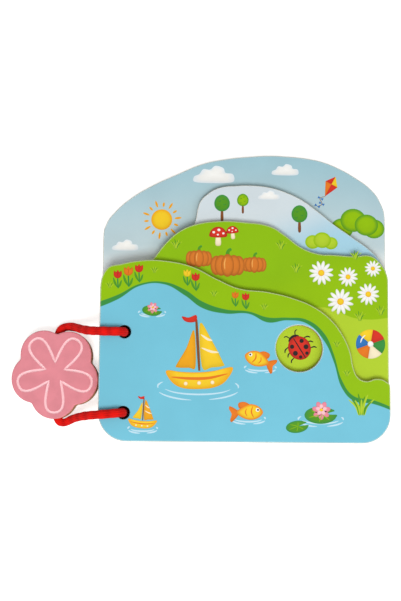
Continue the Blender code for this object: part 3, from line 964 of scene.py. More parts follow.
def tree(pen: Pen, crown: Colour, rim: Colour) -> None:
    """Print a round tree on a trunk, about 18 mm tall at scale 1."""
    pen.shape([(-0.9, -8), (-0.6, 0), (0.6, 0), (1.0, -8)], BROWN, None, 3)
    left = [(-3.4, 8), (-5.2, 4.6), (-4.8, 1), (-2.6, -1.4)]
    pen.shape([(0, 9.5), *left, (0, -2), *((-x, y) for x, y in reversed(left))], crown, rim)
    marks = pen.layer
    for x, y in ((-1.6, 5.6), (1.8, 3.2), (-2.2, 1.6), (1.0, 7.0)):
        pen.layer = marks
        pen.line([(x - 1, y - 0.2), (x, y - 0.8), (x + 1, y)], 0.42, tone(rim, 0.9))


def bush(pen: Pen, lobes: Sequence[Place], colour: Colour, rim: Colour) -> None:
    """Print a bush of round lobes, each given by its place and radius."""
    for x, y, radius in lobes:
        pen.oval(x, y, radius, radius * 0.92, colour, rim)


def cloud(pen: Pen) -> None:
    """Print a cloud, about 23 mm wide at scale 1."""
    puffs = [(-11, -2.6), (-11.6, 0.4), (-8.6, 2), (-6.4, 4.8), (-2.6, 4.6), (0.4, 6.8), (4.8, 5.6)]
    foot = [(6.2, 2.8), (10, 2.2), (11.2, -0.8), (9.2, -2.8), (0, -3.2)]
    pen.shape([*puffs, *foot], WHITE, paint(226, 236, 242))


def sun(pen: Pen) -> None:
    """Print a sun with rays, about 21 mm across at scale 1."""
    base = pen.layer
    for index in range(14):
        near, far = 6.9, 9.4 if index % 2 else 10.6
        pen.layer = base
        turn = 360 * index / 14
        pen.line([turned(reach, 0, turn) for reach in (near, (near + far) / 2, far)], 1.15, GOLD)
    pen.layer = base
    pen.dot(0, 0, 5.6, YELLOW, GOLD)


def kite(pen: Pen) -> None:
    """Print a kite of four panels with a tail of bows."""
    top, left, right, foot, middle = (0, 8), (-5, 1.5), (5, 1.5), (0, -9), (0, 1.5)
    panels = (
        ((top, left, middle), RED), ((top, middle, right), YELLOW),
        ((left, foot, middle), ORANGE), ((middle, foot, right), RED),
    )
    base = pen.layer
    for corners, colour in panels:
        pen.layer = base
        pen.shape(corners, colour, tone(colour, 0.9), 1)
    pen.line([foot, (-2.6, -12), (0.8, -15), (-1.6, -18.5)], 0.45, BROWN, 0.6)
    for x, y in ((-2.2, -11.8), (0.4, -15), (-1.6, -18)):
        pen.shape([(x, y), (x - 2, y + 1.1), (x - 2, y - 0.9)], BLUE, None, 1)
        pen.shape([(x, y), (x + 2, y - 0.9), (x + 2, y + 1.1)], BLUE, None, 1)


def toadstool(pen: Pen) -> None:
    """Print a red toadstool, about 10 mm tall at scale 1."""
    pen.shape([(-1.5, -5.2), (-1.1, 0.5), (1.1, 0.5), (1.6, -5.2)], CREAM, paint(226, 206, 160), 4)
    cap = [(-5.2, 0), (-4.4, 3), (-1.8, 5.2), (1.8, 5.2), (4.4, 3), (5.2, 0), (2.6, -0.8), (-2.6, -0.8)]
    pen.shape(cap, RED, tone(RED, 0.68))
    spots = pen.layer
    for x, y, radius in ((-2.6, 2.2, 0.8), (0.4, 3.6, 0.9), (3.0, 1.6, 0.7), (-0.2, 0.8, 0.6)):
        pen.layer = spots
        pen.oval(x, y, radius, radius * 0.85, WHITE, WHITE)


def grass(pen: Pen, blades: int = 9) -> None:
    """Print a tuft of grass blades, about 8 mm tall at scale 1."""
    spread, base = random.Random(blades), pen.layer
    for index in range(blades):
        lean = (index / (blades - 1) - 0.5) * 9
        height = 5.6 + 2.6 * spread.random() - abs(lean) * 0.3
        pen.layer = base + (index * 2) % 5
        blade = [(lean * 0.22, 0), (lean * 0.42, height * 0.55), (lean, height)]
        pen.line(blade, 0.75, GRASS_DEEP if index % 2 else GRASS_LIME, 0.1)


def ripples(pen: Pen, reach: float) -> None:
    """Print pale rings of ripples under something that floats."""
    rings = (
        (200, 340, 1.0, 1.0), (205, 262, 1.22, 1.75), (285, 338, 1.24, 1.7),
        (150, 190, 1.14, 1.2), (-8, 24, 1.16, 1.25),
    )
    for start, end, wide, high in rings:
        pen.line(arc(reach * wide, reach * 0.22 * high, start, end, 5), 0.85, WATER_PALE, 0.1)


@dataclass(frozen=True)
class Stamp:
    """A motif, its options, and the pens (x, y, scale, turn, flip, layer) that print it."""

    motif: Callable[..., None]
    pens: tuple[tuple[float, ...], ...]
    options: tuple[object, ...] = ()

    def press(self, art: Artwork) -> None:
        """Print the motif with each of its pens."""
        for pen in self.pens:
            self.motif(Pen(art, *pen), *self.options)


@dataclass(frozen=True)
class Outline:
    """The edge of a leaf, as shares of its width and height from the lower left."""

    height: float
    shares: tuple[Point, ...]
    steps: int = 14
    end_handle: float = 0.045
    round_handle: float = 0.5523

    def curve(self, name: str) -> Curve:
        """Return a filled 2D curve of the leaf without its holes."""
        curve = flat_curve(name, BOOK.leaf_thickness)
        spline = curve.splines.new("BEZIER")
        spline.bezier_points.add(len(self.shares) + 3)
        spline.use_cyclic_u = True
        spline.resolution_u = self.steps
        points = list(spline.bezier_points)
        right, bottom = BOOK.leaf_width / 2, BOOK.bottom
        for point, (across, up) in zip(points, self.shares):
            point.handle_left_type = point.handle_right_type = "AUTO"
            point.co = (BOOK.leaf_width * across - right, bottom + self.height * up, 0)
        last = len(self.shares) - 1
        rise = Vector((0, self.height * self.end_handle, 0))
        for point, side in ((points[0], 1), (points[last], -1)):
            point.handle_left_type = point.handle_right_type = "FREE"
            point.handle_left = point.co - rise * side
            point.handle_right = point.co + rise * side
        radius, bend = BOOK.corner_radius, BOOK.corner_radius * (1 - self.round_handle)
        corners = (
            ((right, bottom + radius), (right, bottom + bend), "right", "left"),
            ((right - radius, bottom), (right - bend, bottom), "left", "right"),
            ((radius - right, bottom), (bend - right, bottom), "right", "left"),
            ((-right, bottom + radius), (-right, bottom + bend), "left", "right"),
        )
        for point, (place, handle, bent, straight) in zip(points[last + 1 :], corners):
            point.co = (*place, 0)
            setattr(point, f"handle_{bent}_type", "FREE")
            setattr(point, f"handle_{straight}_type", "VECTOR")
            setattr(point, f"handle_{bent}", (*handle, 0))
        points[last].handle_right_type = points[0].handle_left_type = "VECTOR"
        return curve

    def contains(self, x: float, y: float, margin: float) -> bool:
        """Say whether a point in millimetres lies inside the leaf, clear of its edge."""
        width = BOOK.leaf_width / MM
        across = [(x + step) / width + 0.5 for step in (-margin, 0, margin)]
        if across[0] < 0 or across[2] > 1:
            return False
        top = np.interp(across, *zip(*self.shares)).min() * self.height / MM
        return margin < y - BOOK.bottom / MM < top - margin


@dataclass(frozen=True)
class Blossoms:
    """Small printed flowers, strewn over areas left of and below points in millimetres."""

    count: int
    seed: int
    petals: Colour
    areas: tuple[Point, ...] = ((75, -8),)
    tries: int = 4000
    spacing: float = 6.5
    hole_room: float = 6.0
    peep_room: float = 19.0
    edge_room: float = 3.0
    spread: Point = (73, 74)
    petal_reach: float = 1.7
    eye: float = 0.52
    sizes: Point = (0.7, 1.15)
    turn: float = 0.6

    def places(self, outline: Outline) -> list[Point]:
        """Return where they go on a leaf, in millimetres."""
        pick = random.Random(self.seed)
        kept: list[Point] = []
        off = [((BOOK.hole_x / MM, y / MM), self.hole_room) for y in BOOK.hole_ys]
        off.append((tuple(value / MM for value in BOOK.peep_place), self.peep_room))
        for _ in range(self.tries):
            spot = tuple(pick.uniform(-reach, reach) for reach in self.spread)
            free = all(math.dist(spot, other) > self.spacing for other in kept)
            clear = all(math.dist(spot, centre) > room for centre, room in off)
            wanted = any(spot[0] < right and spot[1] < top for right, top in self.areas)
            if free and clear and wanted and outline.contains(*spot, self.edge_room):
                kept.append(spot)
            if len(kept) == self.count:
                break
        return kept

    def build(
        self, node: str, outline: Outline, top: float, ink: Material, tree: Tree
    ) -> Piece:
        """Strew the flowers.

        Args:
            node: The leaf's CAD node.
            outline: The leaf's edge.
            top: The height of its front face.
            ink: The printing ink's material.
            tree: The tree that repeats the flower.

        Returns:
            The new piece.
        """
        art = Artwork(f"{node}_blossom")
        pen = Pen(art, 0, 0)
        pen.petals(0, 0, 6, self.petal_reach, self.eye, self.petals)
        pen.dot(0, 0, self.eye, YELLOW, GOLD)
        motif = art.build(ink)
        points = bpy.data.meshes.new(f"{node}_blossom_points")
        points.from_pydata([(x * MM, y * MM, top) for x, y in self.places(outline)], [], [])
        least, most = self.sizes
        values = {"Motif": motif, "Ink": ink, "Least size": least, "Most size": most, "Turn": self.turn}
        made = tree.run(f"{node}_blossoms", points, values)
        bpy.data.objects.remove(motif, do_unlink=True)
        return made


@dataclass(frozen=True)
class Leaf:
    """One leaf: a plywood board with a rounded edge, its holes and its printing."""

    node: str
    body: str
    level: int
    outline: Outline
    finish: LeafFinish
    front: tuple[Stamp, ...]
    rear: tuple[Stamp, ...]
    blossoms: Blossoms | None = None
    peep: bool = False
    channel_width: float = 0.006
    channel_top: float = 0.0026
    channel_foot: float = -0.0020
    hole_steps: int = 40
    peep_steps: int = 96
    smooth_angle: float = 32

    def board(self) -> Piece:
        """Return the board with its holes, its rounded edges and, in the back leaf, the cord's channel."""
        curve = self.outline.curve(f"{self.node}_board")
        holes = [((BOOK.hole_x, y), BOOK.hole_radius, self.hole_steps) for y in BOOK.hole_ys]
        if self.peep:
            holes.append((BOOK.peep_place, BOOK.peep_radius, self.peep_steps))
        for centre, radius, steps in holes:
            add_loop(curve, arc(radius, radius, 0, 360, steps, centre)[:-1])
        low = BOOK.floor_of(self.level)
        board = plate(curve, low + BOOK.leaf_thickness / 2, self.finish.build(low))
        if self.level == 0:
            near, far = BOOK.hole_ys
            middle = (BOOK.hole_x, (near + far) / 2, (self.channel_top + self.channel_foot) / 2)
            size = (self.channel_width, near - far, self.channel_top - self.channel_foot)
            shape = bmesh.new()
            bmesh.ops.create_cube(shape, size=1.0, matrix=Matrix.LocRotScale(middle, None, size))
            tool = solid("channel_tool", shape)
            tool.data.materials.append(board.data.materials[0])
            board = cut_out(board, [tool])
        soften(board, self.smooth_angle)
        return board

    def build(self, ink: Material, tree: Tree) -> list[Piece]:
        """Build the leaf and its printing.

        Args:
            ink: The printing ink's material.
            tree: The tree that repeats a small motif.

        Returns:
            The leaf's pieces, riding on its body.
        """
        low = BOOK.floor_of(self.level)
        top = low + BOOK.leaf_thickness
        board = self.board()
        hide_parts(self.node)
        pieces = [board]
        for face, height, stamps in ((Face.FRONT, top, self.front), (Face.REAR, low, self.rear)):
            art = Artwork(f"{self.node}_{face.name.lower()}_print", height, face)
            for stamp in stamps:
                stamp.press(art)
            pieces.append(art.build(ink))
        if self.blossoms:
            pieces.append(self.blossoms.build(self.node, self.outline, top, ink, tree))
        for piece in pieces:
            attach(piece, self.body)
        return pieces


FRONT_OUTLINE = Outline(
    0.0936,
    (
        (0, 0.82), (0.024, 0.953), (0.072, 0.978), (0.15, 1), (0.228, 0.997), (0.318, 0.966),
        (0.404, 0.898), (0.478, 0.848), (0.581, 0.828), (0.671, 0.793), (0.743, 0.744), (0.795, 0.681),
        (0.829, 0.615), (0.863, 0.5), (0.874, 0.412), (0.89, 0.36), (0.917, 0.341), (0.952, 0.354),
        (0.984, 0.341), (1, 0.29),
    ),
)
SECOND_OUTLINE = Outline(
    0.1152,
    (
        (0, 0.6), (0.022, 0.69), (0.075, 0.742), (0.13, 0.765), (0.175, 0.817), (0.226, 0.901),
        (0.271, 0.952), (0.323, 0.983), (0.404, 1), (0.494, 0.997), (0.593, 0.976), (0.64, 0.938),
        (0.698, 0.882), (0.764, 0.852), (0.803, 0.85), (0.879, 0.844), (0.942, 0.845), (0.975, 0.809),
        (0.994, 0.768), (1, 0.7),
    ),
)
THIRD_OUTLINE = Outline(
    0.1353,
    (
        (0, 0.48), (0.022, 0.56), (0.08, 0.596), (0.15, 0.626), (0.235, 0.69), (0.3, 0.78), (0.327, 0.86),
        (0.334, 0.905), (0.344, 0.936), (0.368, 0.964), (0.405, 0.988), (0.477, 0.999), (0.527, 1),
        (0.587, 0.993), (0.642, 0.975), (0.697, 0.947), (0.757, 0.9), (0.817, 0.846), (0.883, 0.795),
        (0.94, 0.749), (0.98, 0.7), (1, 0.63),
    ),
)
BACK_OUTLINE = Outline(
    0.1525,
    (
        (0, 0.69), (0.012, 0.756), (0.04, 0.794), (0.098, 0.845), (0.169, 0.888), (0.261, 0.931),
        (0.349, 0.968), (0.425, 0.985), (0.521, 0.996), (0.596, 1), (0.644, 0.998), (0.721, 0.991),
        (0.782, 0.978), (0.839, 0.955), (0.896, 0.923), (0.949, 0.884), (0.981, 0.842), (1, 0.76),
    ),
)
BANK_LINE = (
    (-80, -6), (-66, -1), (-54, 5), (-42, 6), (-31, 2), (-22, -4), (-10, -8), (2, -9), (12, -12),
    (22, -12), (32, -13), (41, -20), (46, -31), (50, -44), (56, -52), (66, -54), (80, -60),
)
SHORE_LINE = (
    (-80, -9), (-66, -3.4), (-54, 4), (-42, 4.8), (-31, -1), (-22, -7.4), (-10, -10.2), (2, -10.2),
    (12, -14.6), (22, -13.4), (32, -15), (41, -24), (46, -35), (50, -48), (56, -54.5), (66, -56),
    (80, -61.5),
)
BIG_BUSH = ((-9, -4, 6), (8, -4, 5.6), (-3, 0.5, 6.8), (4, -2, 6.2))

BACK_LEAF = Leaf(
    "back_leaf", "base", 0, BACK_OUTLINE,
    LeafFinish(
        "printed_sky", GRASS, GRASS,
        (
            Band(((-80, -8), (-40, 6), (0, 0), (40, 8), (80, 0)), GRASS_LIME),
            # Painted light: a near-white band just above the front leaf's edge, lifting the shadow that the
            # leaves in front cast on the sky.
            Band(((-80, 4), (-50, 12), (-10, 6), (30, 14), (80, 10)), MIST_AND_PAINTED_LIGHT, 3.0),
            Band(((-80, 18), (-60, 22), (0, 22), (80, 22)), SKY_PALE, 6.5),
            Band(((-80, 48), (0, 56), (80, 52)), SKY, 34.0),
        ),
        (
            Band(((-80, -54), (-30, -44), (20, -56), (80, -44)), GRASS_LIME),
            Band(((-80, -34), (-30, -26), (20, -38), (80, -26)), SKY_PALE, 0.4),
            Band(((-80, 20), (0, 28), (80, 24)), SKY, 34.0),
        ),
    ),
    (
        Stamp(sun, ((-44, 41, 1.0, 6),)),
        Stamp(cloud, ((-16, 64, 0.95), (22, 67.5, 0.62), (-63, 26, 0.6))),
        Stamp(kite, ((46, 60, 0.72, -28),)),
        Stamp(bush, ((61, 41),), (BIG_BUSH, GRASS, GRASS_DEEP)),
    ),
    (
        Stamp(sun, ((38, 34, 1.1, 6),)),
        Stamp(cloud, ((-34, 34, 1.2), (-2, 56), (6, 8, 1.3), (-44, -2, 0.9))),
        Stamp(bush, ((44, -32),), (BIG_BUSH, GRASS_DEEP, SHORE)),
        Stamp(grass, ((-40, -56, 1.1), (-10, -66, 1.1), (24, -62, 1.1), (58, -56, 1.1))),
    ),
    Blossoms(50, 5, ROSE),
)
THIRD_LEAF = Leaf(
    "third_leaf", "third", 1, THIRD_OUTLINE,
    LeafFinish(
        "printed_pale_hill", GRASS, GRASS,
        (
            Band(((-80, -10), (-30, 2), (20, -4), (80, 6)), HAZE_BLUE, 0.4),
            Band(((-80, 18), (-20, 26), (30, 36), (60, 50), (80, 60)), HAZE, 15.0),
        ),
        (
            Band(((-80, -24), (-20, -10), (30, -20), (80, -8)), GRASS_LIME),
            Band(((-80, -4), (-20, 4), (30, -6), (80, 2)), HAZE_BLUE, 0.4),
            Band(((-80, 30), (0, 40), (80, 36)), HAZE, 16.0),
        ),
    ),
    (
        Stamp(tree, ((-12, 46.5, 0.78), (29, 41, 0.8)), (GRASS_DEEP, SHORE)),
        Stamp(tree, ((-1, 49, 0.58),), (GRASS, GRASS_DEEP)),
        Stamp(bush, ((41, 29),), (((-5, 0, 4), (4.6, -0.6, 3.6), (0, 1, 4.6)), GRASS_LIME, GRASS)),
        Stamp(cloud, ((13, 53, 0.5),)),
    ),
    (
        Stamp(tree, ((-36, 8), (-24, 9, 0.76), (44, 5, 1.1)), (GRASS_DEEP, SHORE)),
        Stamp(cloud, ((2, 40, 1.1), (34, 30, 0.8), (-8, 22, 0.7))),
        Stamp(grass, ((-50, -34), (-16, -48), (18, -36), (52, -50), (0, -62))),
    ),
    Blossoms(50, 9, YELLOW),
)
SECOND_LEAF = Leaf(
    "second_leaf", "second", 2, SECOND_OUTLINE,
    LeafFinish(
        "printed_meadow", GRASS_LIME, GRASS,
        (
            Band(((-80, -24), (-30, -16), (10, -20), (24, -10), (40, -6), (60, -12), (80, -10)), GRASS, 0.3),
            Band(((-80, -20), (-20, 2), (20, 6), (50, 18), (80, 30)), paint(141, 189, 14), 9.0),
        ),
        (Band(((-80, -30), (-20, -12), (30, -26), (80, -18)), GRASS_LIME),),
    ),
    (
        Stamp(pumpkin, ((-24, 19, 0.86), (-9, 15.5, 1.12), (5, 16, 0.8))),
        Stamp(toadstool, ((-14, 31, 0.9), (-6.5, 33, 0.62, 6))),
        Stamp(daisy, ((40, 12, 6.2, 10), (54, 10, 5, 10), (50, -3, 6.6, 10), (64.5, 1, 5.6, 10))),
        Stamp(daisy, ((67, 14.5, 4.2, 10),)),
        Stamp(ball, ((65.5, -25, 1.0, 20),)),
        Stamp(ladybird, ((28.6, -27.4, 1.12, 32),)),
        Stamp(grass, ((-36, 24, 0.7), (19, 24, 0.7), (27, 12, 0.7), (60, -13, 0.7), (71, -10, 0.7))),
        Stamp(grass, ((58, 19, 0.7),)),
    ),
    (
        Stamp(tulip, ((-44, -50, 1.15), (-28, -50, 1.15), (42, -57, 1.15)), (RED,)),
        Stamp(tulip, ((-36, -53, 1.15),), (YELLOW,)),
        Stamp(tulip, ((34, -60, 1.15),), (ORANGE,)),
        Stamp(daisy, ((-16, 8, 6.4, 10), (4, 18, 5.4, 10), (0, -8, 5.8, 10), (58, -14, 5, 10))),
        Stamp(toadstool, ((30, -2, 1.2),)),
        Stamp(grass, ((-52, -16, 0.9), (-20, -30, 0.9), (14, -40, 0.9), (48, -34, 0.9))),
        Stamp(grass, ((64, -58, 0.9), (-40, 8, 0.9), (24, 16, 0.9))),
    ),
    Blossoms(46, 4, WHITE, ((75, -30), (-30, 8))),
)
FRONT_LEAF = Leaf(
    "front_leaf", "front", 3, FRONT_OUTLINE,
    LeafFinish(
        "printed_pond", WATER, HAZE_BLUE,
        (Band(SHORE_LINE, SHORE), Band(BANK_LINE, GRASS)),
        (Band(((-80, -44), (-30, -34), (20, -48), (80, -60)), SKY_PALE, 14.0),),
    ),
    (
        Stamp(ripples, ((-24, -48),), (18,)),
        Stamp(ripples, ((8, -38),), (7,)),
        Stamp(ripples, ((2, -64),), (7.5,)),
        Stamp(ripples, ((-52, -69.5),), (6.5,)),
        Stamp(ripples, ((39, -64),), (10,)),
        Stamp(ripples, ((-48, -10),), (6,)),
        Stamp(boat, ((-24, -33, 0.98, 3, False, 5),), (YELLOW, YELLOW, GOLD)),
        Stamp(boat, ((-52, -62.5, 0.42, -4, False, 5),), (YELLOW, GOLD, YELLOW)),
        Stamp(fish, ((7, -34, 0.98, -24, False, 5), (2, -61, 1.02, 6, True, 5)), (YELLOW, ORANGE)),
        Stamp(lily, ((39, -62, 1.0, 0, False, 5), (-48, -9, 0.62, -6, False, 5)), (True,)),
        Stamp(lily, ((27, -68, 0.7, 8, False, 5),), (False,)),
        Stamp(tulip, ((-66, 7.2, 0.8), (-55, 10.4, 0.8), (-25.6, 6.2, 0.8), (0.4, -3.6, 0.72)), (RED,)),
        Stamp(tulip, ((-60.5, 8.6, 0.9), (-5, -2.6, 0.66)), (ORANGE,)),
        Stamp(tulip, ((-30, 8.4, 0.72),), (YELLOW,)),
        Stamp(grass, ((60, -62, 1.5),)),
        Stamp(grass, ((-70, 2.5, 0.52), (-47, 10.6, 0.52), (-16, -1.4, 0.52), (10, -8, 0.52)), (7,)),
        Stamp(grass, ((47.5, -27, 0.52), (52.6, -42, 0.52)), (7,)),
    ),
    (Stamp(cloud, ((-30, -2, 1.2), (-6, -26), (40, -58, 1.1), (-24, -52, 1.3))),),
    peep=True,
)


@dataclass(frozen=True)
class Strand:
    """A free strand of the cord, from its hole to the flower's bore, by a route in millimetres."""

    name: str
    node: str
    ys: tuple[float, ...]
    end: tuple[Place, ...]
    thin: float

    ARCH = (
        (-62, 16.9), (-62, 17.45), (-62.12, 18.08), (-62.5, 18.74), (-63.25, 19.32), (-64.35, 19.66),
        (-66.2, 19.78), (-70.5, 19.77), (-73.5, 19.76), (-75.2, 19.62), (-76.9, 18.98), (-78.6, 17.85),
        (-80.3, 16.3), (-82.1, 14.45), (-84, 12.45), (-86, 10.35), (-88, 8.35), (-90, 6.65),
    )

    def route(self) -> list[Place]:
        """Return the points that it passes, in metres: over the shared arch, then its own end."""
        arch = [(x, y, z) for (x, z), y in zip(self.ARCH, self.ys)]
        return [tuple(value / 1000 for value in point) for point in (*arch, *self.end)]


UPPER = Strand(
    "cord_strand_upper", "cord_upper_strand",
    (
        -20.05, -20.05, -20.05, -20.06, -20.07, -20.09, -20.11, -20.08, -20.02, -19.97, -19.9, -19.76,
        -19.52, -19.18, -18.72, -18.12, -17.48, -17.0,
    ),
    (
        (-92.2, -16.84, 5.5), (-94.4, -17.22, 5.15), (-96.2, -18.4, 5.45), (-97.25, -20.5, 5.5),
        (-97.9, -22.8, 5.5), (-98.15, -24.95, 5.5),
    ),
    0.00024,
)
LOWER = Strand(
    "cord_strand_lower", "cord_lower_strand",
    (
        -61.55, -61.55, -61.56, -61.6, -61.67, -61.77, -61.95, -62.37, -62.65, -62.79, -62.93, -63.07,
        -63.25, -63.47, -63.77, -64.17, -64.72, -65.5,
    ),
    (
        (-91.9, -66.45, 5.5), (-93.8, -66.98, 5.15), (-95.85, -66.55, 5.45), (-97.05, -64.65, 5.5),
        (-97.8, -62.0, 5.5), (-98.15, -58.6, 5.5),
    ),
    0.00035,
)


@dataclass
class CordLoop:
    """The soft red cord: through the leaves, free at the spine and inside the flower."""

    tree: Tree
    cotton: Material
    radius: float = BOOK.cord_radius
    braid_depth: float = 0.00014
    braid_pitch: float = 0.0120
    strands: float = 6.0
    inner_radius: float = 0.0021
    inner_x: float = BOOK.hole_x - 0.0003
    lump: float = 0.00009
    lump_waves: tuple[Point, ...] = ((830, 1.3), (317, 0.4))
    pinch: float = 0.00034
    pinch_length: float = 0.0045
    lean: float = 0.00045
    spacing: float = 0.00035
    arc_rings: int = 90
    pressed_height: float = 0.0058
    pressed_share: float = 2.0 / 4.8
    pressed_spread: float = 0.11
    pressed_start: float = 0.0004
    pressed_length: float = 0.0034
    run_height: float = 0.0027
    turn_radius: float = 0.0026
    aside: float = 0.0005
    aside_foot: float = 0.012
    centred_top: float = 0.0075
    blend_start: Place = (0.0004, 0, 0.0004)
    blend_end: Place = (-0.0042, 0, 0.003)
    route_steps: int = 12
    binding_steps: int = 10
    grip_rings: int = 60
    leaf_rings: int = 10

    def sweep(
        self, name: str, points: Sequence[Vector], radius: float, lengths: Sequence[float] = (),
        thin: Point = (0.0, 0.0), pinch: float = 0.0,
    ) -> Piece:
        """Sweep a length of braided cord.

        Args:
            name: Name of the piece.
            points: Its middle line.
            radius: Its outer radius.
            lengths: Cord length at each point, where it isn't the line's own.
            thin: How much the radius shrinks at the start and at the end.
            pinch: How much more it shrinks where the hole's rim squeezes its start.

        Returns:
            A plain mesh object.
        """
        along = np.array(lengths or running(points))
        share = along / along[-1]
        waves = [np.sin(along * wave + phase) for wave, phase in self.lump_waves]
        lumps = np.prod(waves, axis=0) * np.sin(share * np.pi)
        squeezed = np.clip(1 - along / self.pinch_length, 0, 1) ** 2
        swell = lumps * self.lump - thin[0] * (1 - share) - thin[1] * share - pinch * squeezed
        mesh = bpy.data.meshes.new(f"{name}_line")
        mesh.from_pydata([tuple(p) for p in points], [(i, i + 1) for i in range(len(points) - 1)], [])
        for key, numbers in (("along", along), ("swell", swell)):
            attribute = mesh.attributes.new(key, "FLOAT", "POINT")
            attribute.data.foreach_set("value", numbers.astype(np.float32))
        values = {
            "Radius": radius, "Braid depth": self.braid_depth, "Braid pitch": self.braid_pitch,
            "Strands": self.strands, "Cotton": self.cotton,
        }
        made = self.tree.run(name, mesh, values)
        return made

    def free(self, strand: Strand, beyond: Sequence[Piece] = ()) -> Piece:
        """Lay a free strand from its hole to the flower.

        Args:
            strand: The strand's route and names.
            beyond: Pieces of the cord that go on from its end; not used.

        Returns:
            The strand.
        """
        route = strand.route()
        points = evenly(smooth(route, self.route_steps), self.spacing)
        for index, point in enumerate(points):
            point.x -= self.lean * max(0.0, 1 - index * self.spacing / self.pinch_length) ** 2
        made = self.sweep(strand.name, points, self.radius, thin=(0.0, strand.thin), pinch=self.pinch)
        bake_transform(made)
        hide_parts(strand.node)
        return made

    def grip(self) -> Piece:
        """Lay the cord inside the flower, between the ends of the free strands."""
        (x, upper, z), (_, lower, _) = (strand.route()[-1] for strand in (UPPER, LOWER))
        ys = np.linspace(upper - BOOK.cord_gap, lower + BOOK.cord_gap, self.grip_rings + 1)
        points = [Vector((x, y, z)) for y in ys]
        made = self.sweep("cord_inside_flower", points, self.radius, thin=(UPPER.thin, LOWER.thin))
        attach(made, "cord_loop")
        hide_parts("cord_in_grip")
        return made

    def binding(self) -> Piece:
        """Lay the cord that runs down one hole, pressed along the channel and up the other."""
        top, run, turn = BOOK.stack_top - BOOK.cord_gap, self.run_height, self.turn_radius
        upper, lower = BOOK.hole_ys
        x = BOOK.hole_x
        left = x - self.aside
        start = ((left, upper, top), (left, upper, self.aside_foot), (x, upper, self.centred_top))
        down = [Vector(place) for place in start]
        for y, z in arc(turn, turn, 0, 90, 4, (upper - turn, run + turn)):
            down.append(Vector((x, y, 2 * (run + turn) - z)))
        middle = (upper + lower) / 2
        mirror = [Vector((p.x, 2 * middle - p.y, p.z)) for p in reversed(down)]
        places = [*down, Vector((x, middle, run)), *mirror]
        points = evenly(smooth(places, self.binding_steps), self.spacing)
        made = self.sweep("cord_through_leaves", points, self.radius)
        for vertex in made.data.vertices:
            inside = (upper - lower) / 2 - abs(vertex.co.y - middle)
            share = min(max((inside - self.pressed_start) / self.pressed_length, 0.0), 1.0)
            share *= share * (3 - 2 * share) if vertex.co.z < self.pressed_height else 0.0
            vertex.co.z += (BOOK.cord_gap - vertex.co.z) * (1 - self.pressed_share) * share
            vertex.co.x += (vertex.co.x - x) * self.pressed_spread * share
        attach(made, "base")
        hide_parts("cord_binding")
        return made

    def in_leaf(self, number: int, y: float, level: int, body: str) -> Piece:
        """Make the cord inside one leaf's hole, which turns with the leaf."""
        low, rings = BOOK.floor_of(level), self.leaf_rings
        heights = [low + BOOK.leaf_thickness * k / rings for k in range(rings + 1)]
        points = [Vector((self.inner_x, y, height)) for height in heights]
        made = self.sweep(f"cord_in_{body}_leaf_{number}", points, self.inner_radius)
        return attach(made, body)

    def between(self, number: int, y: float, level: int, below: str, above: str) -> Piece:
        """Make the cord packed short in the gap under a leaf, its braid laid out for the length of the arc a
        turned leaf would need.
        """
        x, end = self.inner_x, BOOK.floor_of(level)
        start = end - BOOK.leaf_gap
        reach = math.pi * math.hypot(x - BOOK.hinge_x, BOOK.hinge_z - (start + end) / 2)
        shares = [index / self.arc_rings for index in range(self.arc_rings + 1)]
        eased = [0.5 - math.sin(math.asin(1 - 2 * share) / 3) for share in shares]
        points = [Vector((x, y, start + (end - start) * share)) for share in eased]
        lengths = [reach * share for share in shares]
        made = self.sweep(f"cord_arc_{below}_{above}_{number}", points, self.inner_radius, lengths)
        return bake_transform(made)

    def build(self) -> list[Piece]:
        """Return every length of the cord."""
        grip = self.grip()
        pieces = [self.free(UPPER, [grip]), self.free(LOWER), self.binding(), grip]
        chain = ("base", "third", "second", "front")
        for number, y in enumerate(BOOK.hole_ys, 1):
            for level in (1, 2, 3):
                pieces.append(self.in_leaf(number, y, level, chain[level]))
                pieces.append(self.between(number, y, level, chain[level - 1], chain[level]))
        return pieces


